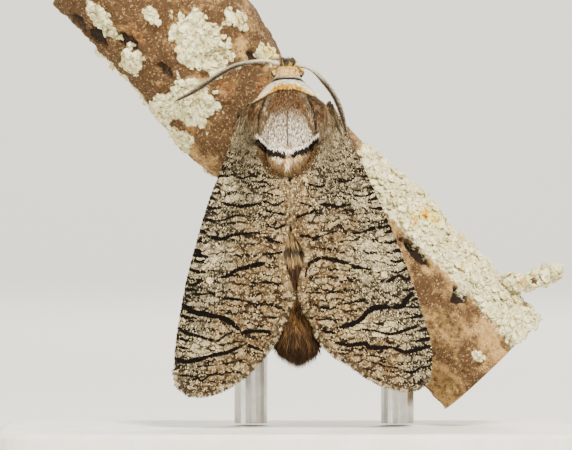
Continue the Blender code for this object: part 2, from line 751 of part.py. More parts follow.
def build_head():
    cut = (HEAD_CUT_Z - HEAD_CENTRE.z) / HEAD_RADII[2]
    head_rings = ball_rings(HEAD_CENTRE, HEAD_RADII, HEAD_SIDES, HEAD_ROWS, cut)
    head = ring_solid("head", head_rings, "buff_scales")
    for side, name in ((-1, "left"), (1, "right")):
        offset = np.array((EYE_OFFSET[0] * side, EYE_OFFSET[1], EYE_OFFSET[2]))
        middle = np.array(HEAD_CENTRE) + offset
        eye_rings = ball_rings(middle, (EYE_RADIUS,) * 3, EYE_SIDES, EYE_ROWS)
        ring_solid("eye_" + name, eye_rings, "eye_dark")
        socket_rings = ball_rings(middle, (EYE_RADIUS + GAP,) * 3, SOCKET_SIDES, SOCKET_ROWS)
        socket = ring_solid("socket_" + name, socket_rings, "buff_scales")
        socket.hide_render = True
        socket.display_type = "WIRE"
        cutter = head.modifiers.new("socket_" + name, "BOOLEAN")
        cutter.operation = "DIFFERENCE"
        cutter.object = socket
        cutter.solver = "EXACT"

        mirror = np.array((side, 1.0, 1.0))
        root = head_point(PALP_ROOT_WAY * mirror, GAP + PALP_RADIUS * 0.5)
        bend = head_point(PALP_BEND_WAY * mirror, GAP + PALP_RADIUS)
        tip = head_point(PALP_TIP_WAY * mirror, GAP + PALP_RADIUS)
        path = curve_at((root, bend, tip), np.linspace(0.0, 1.0, len(PALP_PROFILE)))
        radii = PALP_RADIUS * np.array(PALP_PROFILE)
        palp_rings = tube_rings(path, radii, PALP_SIDES, wide=(1.0, 0.0, 0.0))
        ring_solid("palp_" + name, palp_rings, "buff_scales")


def build_antennae():
    for name, points in ANTENNA_PATHS.items():
        side = -1 if name.endswith("left") else 1
        root = head_point(ANTENNA_ROOT_WAY * np.array((side, 1.0, 1.0)), GAP + ANTENNA_ROOT_LIFT)
        path = curve_at((root, *points), np.linspace(0.0, 1.0, ANTENNA_RINGS))
        radii = [value_at(ANTENNA_HALF_WIDTHS, f) for f in np.linspace(0.0, 1.0, ANTENNA_RINGS)]
        rings = tube_rings(path, radii, ANTENNA_SIDES, ANTENNA_FLATNESS, wide=(0.2 * side, 0.5, 0.8))
        ring_solid(name, rings, "horn_brown")


def vein_columns():
    columns = {0.0, 1.0}
    for vein in LONG_VEINS + OUTER_VEINS:
        columns.update((vein - VEIN_HALF_WIDTH, vein, vein + VEIN_HALF_WIDTH))
    return np.array(sorted(columns))


def vein_height(u, v):
    """Height of the veins above the membrane, 0 to 1."""
    height = 0.0
    for vein in LONG_VEINS + OUTER_VEINS:
        near = max(0.0, 1.0 - abs(v - vein) / VEIN_HALF_WIDTH)
        starts = CELL_END if vein in OUTER_VEINS else 0.06
        height = max(height, near * smoothstep(starts - 0.05, starts + 0.03, u))
    return height


def wing_surface(edges, rows, columns):
    """A grid that spans a wing's four edges, slightly domed, and its outward normals."""
    root = curve_at(edges["root"], columns)
    margin = curve_at(edges["margin"], columns)
    costa = curve_at(edges["costa"], rows)
    inner = curve_at(edges["inner"], rows)
    u = rows[:, None, None]
    v = columns[None, :, None]
    grid = (1 - u) * root[None] + u * margin[None] + (1 - v) * costa[:, None] + v * inner[:, None]
    grid -= (1 - u) * ((1 - v) * root[0] + v * root[-1]) + u * ((1 - v) * margin[0] + v * margin[-1])
    dome = WING_BULGE * np.sin(math.pi * v) * np.sin(math.pi * np.clip(u * 0.8 + 0.15, 0.0, 1.0))
    grid[:, :, 1:2] -= dome
    along = np.gradient(grid, rows, axis=0)
    across = np.gradient(grid, columns, axis=1)
    normals = np.cross(along, across)
    normals /= np.linalg.norm(normals, axis=2)[:, :, None]
    normals *= -np.sign(normals[:, :, 1:2])
    return grid, normals


def build_forewing(name, edges):
    rows = np.linspace(0.0, 1.0, WING_ROWS)
    columns = vein_columns()
    grid, normals = wing_surface(edges, rows, columns)
    veins = np.array([[vein_height(u, v) for v in columns] for u in rows])[:, :, None]
    outer = grid + normals * veins * VEIN_HEIGHT
    inner = grid - normals * WING_THICKNESS
    sheet_solid(name, outer, inner, "wing_scales")


def thorax_point(z, angle_deg, lift, side):
    """A place on the flank of the thorax, lifted off it. Angles run from the flank to the back."""
    table = np.array(THORAX_SECTIONS)[::-1]
    half_width, back, front, sag = [np.interp(z, table[:, 0], table[:, k]) for k in range(1, 5)]
    angle = math.radians(angle_deg)
    depth = back if angle_deg > 0 else front
    x = (half_width + lift) * math.cos(angle) * side
    y = (depth + lift) * math.sin(angle)
    return np.array((THORAX_X + x, THORAX_Y - y, z - sag * math.cos(angle) ** 2))


def build_hindwing(name, edges, side):
    rows = np.linspace(*HINDWING_SPAN_U, HINDWING_ROWS)
    all_rows = np.concatenate([[0.0], rows, [1.0]])
    grid, normals = wing_surface(edges, all_rows, np.linspace(0.0, 1.0, HINDWING_GRID_COLUMNS))
    first = int(round(HINDWING_SPAN_V[0] * (HINDWING_GRID_COLUMNS - 1)))
    last = int(round(HINDWING_SPAN_V[1] * (HINDWING_GRID_COLUMNS - 1)))
    picks = np.linspace(first, last, HINDWING_COLUMNS).round().astype(int)
    depth = WING_THICKNESS + GAP + HINDWING_EXTRA_GAP
    outer = (grid - normals * depth)[1:-1][:, picks]
    normals = normals[1:-1][:, picks]
    flank = thorax_point(HINDWING_ROOT_HEIGHT, HINDWING_ROOT_DEG, GAP + THORAX_CLEARANCE, side)
    slant = np.linspace(0.0, 1.0, len(picks))[:, None]
    root = flank + slant * HINDWING_ROOT_SLANT * np.array((-side, 1.0, 1.0))
    halfway = root * 0.5 + outer[0] * 0.5
    outer = np.concatenate([[root], [halfway], outer])
    normals = np.concatenate([normals[:1], normals[:1], normals])
    sheet_solid(name, outer, outer - normals * HINDWING_THICKNESS, "grey_scales")


def build_tegula(name, side):
    outer = np.zeros((TEGULA_ROWS, TEGULA_COLUMNS, 3))
    inner = np.zeros_like(outer)
    for i, along in enumerate(np.linspace(0.0, 1.0, TEGULA_ROWS)):
        z = TEGULA_SPAN_Z[0] + (TEGULA_SPAN_Z[1] - TEGULA_SPAN_Z[0]) * along
        low = value_at(TEGULA_LOW_DEG, along)
        high = value_at(TEGULA_HIGH_DEG, along)
        for j, across in enumerate(np.linspace(0.0, 1.0, TEGULA_COLUMNS)):
            angle = low + (high - low) * across
            swell = math.sin(math.pi * (0.12 + 0.76 * across)) * math.sin(math.pi * (0.15 + 0.7 * along))
            lift = GAP + THORAX_CLEARANCE + TEGULA_THICKNESS * swell
            outer[i, j] = thorax_point(z, angle, lift, side)
            inner[i, j] = thorax_point(z, angle, GAP, side)
    sheet_solid(name, outer, inner, "grey_scales")


def belly_y(x, z):
    """The y of the underside of the thorax at x and z."""
    table = np.array(THORAX_SECTIONS)[::-1]
    half_width = np.interp(z, table[:, 0], table[:, 1])
    front = np.interp(z, table[:, 0], table[:, 3])
    share = min(abs(x - THORAX_X) / half_width, 1.0)
    return THORAX_Y + front * math.sqrt(1.0 - share**2)


def build_leg(name, hip, knee, ankle, tip, knee_y):
    joint = (knee[0], knee_y, knee[1])
    heel = on_bark(*ankle, GAP + HEEL_LIFT)
    toe = on_bark(*tip, GAP + TOE_LIFT)
    sole = on_bark((ankle[0] + tip[0]) / 2, (ankle[1] + tip[1]) / 2, GAP + SOLE_LIFT)
    start = np.array((hip[0], belly_y(*hip) + GAP + LEG_RADII[0] + THORAX_CLEARANCE, hip[1]))
    thigh = start + (np.array(joint) - start) * THIGH_SHARE + THIGH_RISE
    shin = (np.array(joint) + heel) / 2
    path = curve_at((start, thigh, joint, shin, heel, sole, toe), np.linspace(0.0, 1.0, LEG_RINGS))
    radii = [value_at(LEG_RADII, f) for f in np.linspace(0.0, 1.0, LEG_RINGS)]
    ring_solid(name, tube_rings(path, radii, LEG_SIDES, wide=(0.1, 1.0, 0.2)), "brown_scales")


def build_moth():
    build_head()
    build_antennae()
    build_thorax()
    build_abdomen()
    build_forewing("forewing_left", FOREWING_LEFT)
    build_forewing("forewing_right", FOREWING_RIGHT)
    build_hindwing("hindwing_left", FOREWING_LEFT, -1)
    build_hindwing("hindwing_right", FOREWING_RIGHT, 1)
    build_tegula("tegula_left", -1)
    build_tegula("tegula_right", 1)
    for name, shape in LEGS.items():
        build_leg(name, *shape)


clear_scene()
build_stand()
build_branch()
build_moth()
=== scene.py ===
import heapq
import math

import bmesh
import bpy
import numpy as np
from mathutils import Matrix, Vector, noise
from mathutils.bvhtree import BVHTree


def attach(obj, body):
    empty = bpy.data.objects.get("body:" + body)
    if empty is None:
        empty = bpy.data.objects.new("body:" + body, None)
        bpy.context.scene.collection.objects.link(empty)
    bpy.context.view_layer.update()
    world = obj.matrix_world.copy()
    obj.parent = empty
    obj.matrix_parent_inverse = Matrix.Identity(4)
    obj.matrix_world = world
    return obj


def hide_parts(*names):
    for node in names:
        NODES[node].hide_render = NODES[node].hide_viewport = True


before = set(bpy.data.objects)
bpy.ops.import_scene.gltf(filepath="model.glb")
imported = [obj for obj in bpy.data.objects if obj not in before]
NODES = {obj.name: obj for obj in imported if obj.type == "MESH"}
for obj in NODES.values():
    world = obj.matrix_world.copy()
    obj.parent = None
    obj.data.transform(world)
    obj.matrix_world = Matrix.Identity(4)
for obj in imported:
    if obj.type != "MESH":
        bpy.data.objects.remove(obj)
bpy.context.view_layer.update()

MM = 0.001
BODY = "root"

# Camera: the width that the picture covers at the depth of the moth's back, and its middle
PICTURE_WIDTH = 74.4 * MM
PICTURE_MIDDLE = Vector((-0.52, -8.0, 30.65)) * MM
CAMERA_DISTANCE = 0.6
SENSOR_WIDTH = 36.0
# The bake map's unwraps: their edge and span, and the unit of one tuft's patch
UNWRAP_EDGE = 0.02
UNWRAP_SPAN = 0.96
PATCH_UNIT = 0.0011
# Points nearer than this, in metres, are one point
JOIN_REACH = 1e-7


def srgb(red, green, blue):
    """A linear colour from 0 to 255 screen values."""
    linear = []
    for value in (red, green, blue):
        share = value / 255.0
        linear.append(share / 12.92 if share <= 0.04045 else ((share + 0.055) / 1.055) ** 2.4)
    return (*linear, 1.0)


def dye(red, green, blue):
    """The same without alpha, for colours that are mixed in arrays."""
    return srgb(red, green, blue)[:3]


def smoothstep(low, high, value):
    t = np.clip((np.asarray(value, float) - low) / (high - low), 0.0, 1.0)
    return t * t * (3.0 - 2.0 * t)


def mix(first, second, share):
    share = np.asarray(share)[..., None]
    return np.asarray(first) * (1.0 - share) + np.asarray(second) * share


def layered(colour, *layers):
    """Colours laid over the first one. Each layer has a colour and how much of it covers."""
    for over, share in layers:
        colour = mix(colour, over, share)
    return colour


def unit_rows(vectors):
    return vectors / np.maximum(np.linalg.norm(vectors, axis=-1, keepdims=True), 1e-12)


def noise_at(points, scale, offset=0.0):
    """Smooth noise from -1 to 1 at each point, for points in millimetres."""
    shifted = np.asarray(points) * scale + offset
    return np.array([noise.noise(Vector(p)) for p in shifted])


def curve_through(points, count):
    """Evenly spaced places on a smooth curve through the points."""
    knots = np.array(points, float)
    padded = np.vstack([2 * knots[0] - knots[1], knots, 2 * knots[-1] - knots[-2]])
    steps = np.linspace(0.0, 1.0, 13)[:, None]
    pieces = []
    for i in range(len(knots) - 1):
        p0, p1, p2, p3 = padded[i : i + 4]
        bend = 2 * p1 + (p2 - p0) * steps + (2 * p0 - 5 * p1 + 4 * p2 - p3) * steps**2
        pieces.append((bend + (3 * p1 - p0 - 3 * p2 + p3) * steps**3) / 2)
    dense = np.vstack(pieces)
    run = np.concatenate([[0.0], np.cumsum(np.linalg.norm(np.diff(dense, axis=0), axis=1))])
    at = np.linspace(0.0, run[-1], count)
    return np.stack([np.interp(at, run, dense[:, k]) for k in range(dense.shape[1])], axis=1)


# Meshes from arrays


def mesh_from_arrays(name, points, quads, triangles=None):
    """An object from points in millimetres and index arrays of quads and triangles."""
    triangles = np.zeros((0, 3), int) if triangles is None else np.asarray(triangles)
    quads = np.zeros((0, 4), int) if quads is None else np.asarray(quads)
    mesh = bpy.data.meshes.new(name)
    mesh.vertices.add(len(points))
    mesh.vertices.foreach_set("co", (np.asarray(points, float) * MM).ravel())
    corners = np.concatenate([quads.ravel(), triangles.ravel()]).astype(np.int32)
    sizes = np.concatenate([np.full(len(quads), 4), np.full(len(triangles), 3)])
    starts = np.concatenate([[0], np.cumsum(sizes)[:-1]]).astype(np.int32)
    mesh.loops.add(len(corners))
    mesh.loops.foreach_set("vertex_index", corners)
    mesh.polygons.add(len(sizes))
    mesh.polygons.foreach_set("loop_start", starts)
    mesh.polygons.foreach_set("use_smooth", np.ones(len(sizes), bool))
    mesh.update(calc_edges=True)
    mesh.validate()
    piece = bpy.data.objects.new(name, mesh)
    bpy.context.scene.collection.objects.link(piece)
    return piece


def put_values(piece, name, values):
    """A number or a vector for each point of the piece."""
    values = np.asarray(values, float)
    kind, field = ("FLOAT", "value") if values.ndim == 1 else ("FLOAT_VECTOR", "vector")
    attribute = piece.data.attributes.new(name, kind, "POINT")
    attribute.data.foreach_set(field, values.ravel())


def put_hair_values(piece, tints, places, along):
    """What the hair materials read: a tint, a place and how far along its blade each point lies."""
    for name, values in (("tint", tints), ("place", places), ("along", along)):
        put_values(piece, name, values)


def put_bake_map(piece, places):
    layer = piece.data.uv_layers.new(name="OFBake")
    corners = np.zeros(len(piece.data.loops), np.int32)
    piece.data.loops.foreach_get("vertex_index", corners)
    layer.data.foreach_set("uv", np.asarray(places, float)[corners].ravel())


def finish_piece(piece, material, slot, *nodes):
    piece.data.materials.clear()
    piece.data.materials.append(material)
    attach(piece, BODY)
    if nodes:
        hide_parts(*nodes)


def mesh_arrays(piece):
    mesh = piece.data
    points = np.zeros(len(mesh.vertices) * 3)
    mesh.vertices.foreach_get("co", points)
    mesh.calc_loop_triangles()
    triangles = np.zeros(len(mesh.loop_triangles) * 3, np.int32)
    mesh.loop_triangles.foreach_get("vertices", triangles)
    return points.reshape(-1, 3) / MM, triangles.reshape(-1, 3)


def tree_of(*pieces):
    """A search tree over pieces, in millimetres."""
    points = []
    triangles = []
    count = 0
    for piece in pieces:
        p, t = mesh_arrays(piece)
        points.append(p)
        triangles.append(t + count)
        count += len(p)
    return BVHTree.FromPolygons(np.vstack(points).tolist(), np.vstack(triangles).tolist())


def front_hit(tree, x, z):
    """Where a ray along the camera's view meets the tree, and the normal there."""
    return tree.ray_cast(Vector((x, -40.0, z)), Vector((0.0, 1.0, 0.0)))[:2]


def rounded(node, levels, front_only=False):
    """An object with a subdivided copy of a node, or of its face that looks away from the branch."""
    name = node.name + "_rounded"
    work = bmesh.new()
    work.from_mesh(node.data)
    bmesh.ops.remove_doubles(work, verts=work.verts, dist=JOIN_REACH)
    if front_only:
        bmesh.ops.delete(work, geom=[f for f in work.faces if f.normal.y > -0.3], context="FACES")
    mesh = bpy.data.meshes.new(name)
    work.to_mesh(mesh)
    work.free()
    piece = bpy.data.objects.new(name, mesh)
    bpy.context.scene.collection.objects.link(piece)
    rounding = piece.modifiers.new("smooth", "SUBSURF")
    rounding.levels = rounding.render_levels = levels
    dense = bpy.data.meshes.new_from_object(piece.evaluated_get(bpy.context.evaluated_depsgraph_get()))
    piece.modifiers.clear()
    piece.data = dense
    normals = np.zeros(len(dense.vertices) * 3)
    dense.vertices.foreach_get("normal", normals)
    return piece, normals.reshape(-1, 3)


# Tufts: each is a thin ridged blade of two rings and a tip, rooted on a surface

TUFT_STEPS = (0.0, 0.5)
TUFT_POINTS = 7
TUFT_ALONG = (0.0, 0.0, 0.0, 0.5, 0.5, 0.5, 1.0)
SEEN_SHARE = 0.6


def lying(normals, lies):
    """Unit normals, ways that lie square to them, and the ways across both."""
    normals = unit_rows(normals)
    lies = unit_rows(lies - normals * np.sum(lies * normals, axis=1, keepdims=True))
    return normals, lies, np.cross(lies, normals)


def many_copies(name, points, quads, triangles, patch, places):
    """One mesh of many small shapes, each with its own patch of the bake map at its place."""
    first = np.arange(len(points))[:, None, None] * points.shape[1]
    piece = mesh_from_arrays(name, points.reshape(-1, 3), (first + np.array(quads)).reshape(-1, 4),
                             (first + np.array(triangles)).reshape(-1, 3))
    put_bake_map(piece, (places[:, None] + np.array(patch)).reshape(-1, 2))
    return piece


def grow_coat(name, roots, normals, lies, lengths, widths, rise, places, sink=0.12, curl=0.0):
    """Blades that lie along lies. rise is how far the tip stands off, as a share of length."""
    count = len(roots)
    normals, lies, sides = lying(normals, lies)
    lengths, widths, rise, curl = (np.broadcast_to(np.asarray(v, float), (count,))[:, None]
                                   for v in (lengths, widths, rise, curl))
    start = roots - normals * sink
    points = np.zeros((count, TUFT_POINTS, 3))
    for k, (step, half) in enumerate(zip(TUFT_STEPS, (widths * 0.4, widths * 0.5))):
        height = lengths * (rise * (1.6 * step - 0.6 * step * step)) + sink * min(step * 2.5, 1.0)
        middle = start + lies * lengths * step + normals * height
        middle = middle + sides * lengths * curl * step * step
        points[:, 3 * k] = middle - sides * half
        points[:, 3 * k + 1] = middle + normals * half * 0.5
        points[:, 3 * k + 2] = middle + sides * half
    points[:, 6] = start + lies * lengths + normals * (lengths * rise + sink) + sides * lengths * curl
    patch = np.array([(a, b) for b in (0.0, 1.3) for a in (-1.3, 0.0, 1.3)] + [(0.0, 2.6)]) * PATCH_UNIT
    return many_copies(name, points, ((0, 1, 4, 3), (1, 2, 5, 4)), ((3, 4, 6), (4, 5, 6)), patch, places)


def spread(values, times=TUFT_POINTS):
    """Repeats one value for each of a blade's points."""
    return np.repeat(np.asarray(values, float), times, axis=0)


def seen_places(roots, normals, lies, lengths):
    """Where the part of each tuft that the next ones leave bare lies, along the surface."""
    flat = unit_rows(lies - normals * np.sum(lies * normals, axis=1, keepdims=True))
    return roots + flat * np.asarray(lengths)[:, None] * SEEN_SHARE


# A wing scale's points: shares of its length, its width and its rise
PLATE_SHAPE = ((0.0, -0.3, 0.0), (0.0, 0.3, 0.0), (0.72, 0.5, 1.0), (0.72, -0.5, 1.0), (1.0, 0.0, 1.1))


def grow_plates(name, roots, normals, lies, lengths, widths, rise, places):
    """Thin scales of five points each, rounded at the free end, that overlap like roof tiles."""
    normals, lies, sides = lying(normals, lies)
    lengths, widths, rise = (np.asarray(v, float)[:, None] for v in (lengths, widths, rise))
    points = np.stack([roots + lies * lengths * step + sides * widths * half + normals * lengths * rise * up
                       for step, half, up in PLATE_SHAPE], axis=1)
    patch = np.array(((-1.0, 0.0), (1.0, 0.0), (1.0, 2.0), (-1.0, 2.0), (0.0, 2.8))) * PATCH_UNIT
    return many_copies(name, points, ((0, 1, 2, 3),), ((3, 2, 4),), patch, places)


def scatter(points, triangles, weights, count, seed):
    """Random places on triangles: positions, normals and the triangles' numbers."""
    draw = np.random.default_rng(seed)
    corners = points[triangles]
    cross = np.cross(corners[:, 1] - corners[:, 0], corners[:, 2] - corners[:, 0])
    area = np.linalg.norm(cross, axis=1) * weights
    picked = np.sort(draw.choice(len(triangles), size=count, p=area / area.sum()))
    a, b = draw.random(count), draw.random(count)
    flip = a + b > 1.0
    a, b = np.where(flip, 1 - a, a)[:, None], np.where(flip, 1 - b, b)[:, None]
    chosen = corners[picked]
    places = chosen[:, 0] + a * (chosen[:, 1] - chosen[:, 0]) + b * (chosen[:, 2] - chosen[:, 0])
    return places, unit_rows(cross[picked]), picked, draw


# Shader tools


class Nodes:
    """Short forms for adding nodes to a tree."""

    def __init__(self, tree):
        self.tree = tree

    def add(self, kind, inputs=None, **settings):
        node = self.tree.nodes.new(kind)
        for key, value in settings.items():
            setattr(node, key, value)
        for key, value in (inputs or {}).items():
            self.feed(node.inputs[key], value)
        return node

    def feed(self, socket, value):
        if isinstance(value, bpy.types.NodeSocket):
            self.tree.links.new(value, socket)
        else:
            socket.default_value = value

    def maths(self, operation, *values):
        return self.add("ShaderNodeMath", dict(enumerate(values)), operation=operation).outputs[0]

    def times(self, *factors):
        product = factors[0]
        for factor in factors[1:]:
            product = self.maths("MULTIPLY", product, factor)
        return product

    def vector(self, operation, first, second=(0.0, 0.0, 0.0), output="Vector"):
        return self.add("ShaderNodeVectorMath", {0: first, 1: second}, operation=operation).outputs[output]

    def part(self, vector, axis):
        return self.add("ShaderNodeSeparateXYZ", {0: vector}).outputs[axis]

    def ramp(self, value, low, high, out_low=0.0, out_high=1.0):
        ends = {"Value": value, "From Min": low, "From Max": high, "To Min": out_low, "To Max": out_high}
        return self.add("ShaderNodeMapRange", ends, interpolation_type="SMOOTHSTEP").outputs["Result"]

    def blend(self, share, first, second, mode="MIX"):
        node = self.add("ShaderNodeMix", data_type="RGBA", blend_type=mode)
        for name, value in (("Factor", share), ("A", first), ("B", second)):
            self.feed(node.inputs[name], value)
        return node.outputs["Result"]

    def layered(self, colour, *layers):
        """Colours laid over the first one. Each layer has a colour and how much of it covers."""
        for over, share in layers:
            colour = self.blend(share, colour, over)
        return colour

    def noise(self, vector, scale, detail=3.0, roughness=0.55, output="Fac"):
        cloud = {"Vector": vector, "Scale": scale, "Detail": detail, "Roughness": roughness}
        return self.add("ShaderNodeTexNoise", cloud).outputs[output]

    def cells(self, vector, scale):
        """Distance to the edge of the nearest cell."""
        return self.add("ShaderNodeTexVoronoi", {"Vector": vector, "Scale": scale},
                        feature="DISTANCE_TO_EDGE").outputs["Distance"]

    def stretch(self, vector, factors):
        return self.add("ShaderNodeMapping", {"Vector": vector, "Scale": factors}).outputs["Vector"]

    def attribute(self, name, output="Fac"):
        return self.add("ShaderNodeAttribute", attribute_name=name).outputs[output]

    def own_place(self):
        return self.add("ShaderNodeTexCoord").outputs["Object"]

    def effect(self, group, output, **inputs):
        node = self.add("ShaderNodeGroup", node_tree=group)
        for key, value in inputs.items():
            self.feed(node.inputs[key.title()], value)
        return node.outputs[output]

    def speckled(self, group, place, colour, spots, scale, cutoff, strength):
        return self.effect(group, "Color", color=colour, spots=spots, place=place, scale=scale,
                           cutoff=cutoff, strength=strength)

    def dress(self, shader, colour, height=None, strength=0.0, depth=0.0, roughness=None):
        """Feeds the shader its colour, its roughness and a bump whose depth is in metres."""
        self.feed(shader.inputs["Base Color"], colour)
        if roughness is not None:
            self.feed(shader.inputs["Roughness"], roughness)
        if height is not None:
            bump = self.add("ShaderNodeBump", {"Height": height, "Strength": strength, "Distance": depth})
            self.feed(shader.inputs["Normal"], bump.outputs["Normal"])


def new_group(name, inputs, outputs):
    """A shader node group. inputs and outputs give the kind of each socket by its name."""
    group = bpy.data.node_groups.new(name, "ShaderNodeTree")
    for way, sockets in (("INPUT", inputs), ("OUTPUT", outputs)):
        for label, kind in sockets.items():
            group.interface.new_socket(label, in_out=way, socket_type="NodeSocket" + kind)
    nodes = Nodes(group)
    return group, nodes, nodes.add("NodeGroupInput").outputs, nodes.add("NodeGroupOutput").inputs


def new_material(name, roughness, specular, metallic=0.0, coat=0.0):
    material = bpy.data.materials.new(name)
    material.use_nodes = True
    shader = material.node_tree.nodes["Principled BSDF"]
    for socket, value in (("Roughness", roughness), ("Specular IOR Level", specular),
                          ("Metallic", metallic), ("Coat Weight", coat)):
        shader.inputs[socket].default_value = value
    return material, Nodes(material.node_tree), shader


def speckle_group():
    """Small irregular spots of one colour over another. Cutoff is higher for fewer spots."""
    group, n, given, out = new_group(
        "speckle", {"Color": "Color", "Spots": "Color", "Place": "Vector", "Scale": "Float",
                    "Cutoff": "Float", "Strength": "Float"}, {"Color": "Color"})
    cloud = n.noise(given["Place"], given["Scale"], 3.0, 0.7)
    mask = n.ramp(cloud, given["Cutoff"], n.maths("ADD", given["Cutoff"], 0.07))
    n.feed(out["Color"], n.blend(n.times(mask, given["Strength"]), given["Color"], given["Spots"]))
    return group


def hair_tone_group():
    """The colour of hair and scales: darker at the root as painted shade, and uneven from place to place."""
    group, n, given, out = new_group(
        "hair_tone", {"Tint": "Color", "Along": "Float", "Place": "Vector"}, {"Color": "Color"})
    # Painted shade: each blade is darkened towards its root, where shade falls inside the coat.
    dark = n.blend(1.0, given["Tint"], (0.5, 0.46, 0.42, 1.0), "MULTIPLY")
    colour = n.blend(n.ramp(given["Along"], 0.0, 0.55), dark, given["Tint"])
    grain = n.ramp(n.noise(given["Place"], 6.0, 2.0, 0.6), 0.3, 0.7, 0.85, 1.15)
    tone = n.add("ShaderNodeHueSaturation", {"Color": colour, "Value": grain})
    n.feed(out["Color"], tone.outputs["Color"])
    return group


# Wings

GROUND_GREY = srgb(68, 61, 47)
GROUND_TAN = srgb(107, 84, 54)
GROUND_BROWN = srgb(68, 49, 30)
CREAM = srgb(232, 214, 170)
BASE_CREAM = srgb(190, 154, 104)
FRINGE_BROWN = srgb(62, 51, 36)
NET_BROWN = srgb(24, 14, 8)
LINE_BLACK = srgb(10, 6, 4)
WING_VALUES = ("line", "costa", "margin", "inner", "shade", "fleck")
# Places where pale scales crowd: x, z, half sizes; and the two round pale spots
PALE_CLOUDS = ((-11.2, 26.8, 3.6, 2.2), (11.4, 26.6, 4.4, 2.6), (-11.6, 14.6, 3.4, 1.6), (11.6, 17.2, 4.2, 1.5),
               (-9.0, 35.4, 2.6, 1.8), (10.2, 33.4, 2.4, 1.6))
ROUND_SPOTS = ((-10.5, 23.4, 0.44), (12.3, 24.2, 0.44))


def warped(n, place, moves):
    """The place, pushed about by noise. moves has pairs of a scale and a reach."""
    for scale, reach in moves:
        cloud = n.noise(place, scale, 2.0, 0.5, "Color")
        shift = n.vector("SUBTRACT", cloud, (0.5, 0.5, 0.5))
        place = n.vector("ADD", place, n.vector("MULTIPLY", shift, (reach, reach, reach)))
    return place


def ellipse_mask(n, place, centre, sizes, soft):
    """How much a place lies in an ellipse, as a value from 0 to 1."""
    offset = n.vector("SUBTRACT", place, (centre[0], 0.0, centre[1]))
    scaled = n.vector("MULTIPLY", offset, (1.0 / sizes[0], 0.0, 1.0 / sizes[1]))
    return n.ramp(n.vector("LENGTH", scaled, output="Value"), 1.0 + soft, 1.0 - soft)


def ripple_lines(n, place, spacing, width, reach, scale):
    """Thin scalloped lines across the wing, a spacing apart."""
    cloud = n.maths("SUBTRACT", n.noise(place, scale, 2.0, 0.5), 0.5)
    across = n.part(place, "X")
    level = n.maths("ADD", n.part(place, "Z"), n.times(cloud, reach))
    level = n.maths("DIVIDE", n.maths("ADD", level, n.times(across, 0.06)), spacing)
    phase = n.times(n.maths("FLOOR", level), 1.7)
    scallop = n.maths("ABSOLUTE", n.maths("SINE", n.maths("MULTIPLY_ADD", across, 4.0 / spacing, phase)))
    turn = n.maths("FRACT", n.maths("MULTIPLY_ADD", scallop, 0.16, level))
    return n.maths("LESS_THAN", n.maths("ABSOLUTE", n.maths("SUBTRACT", turn, 0.5)), width)


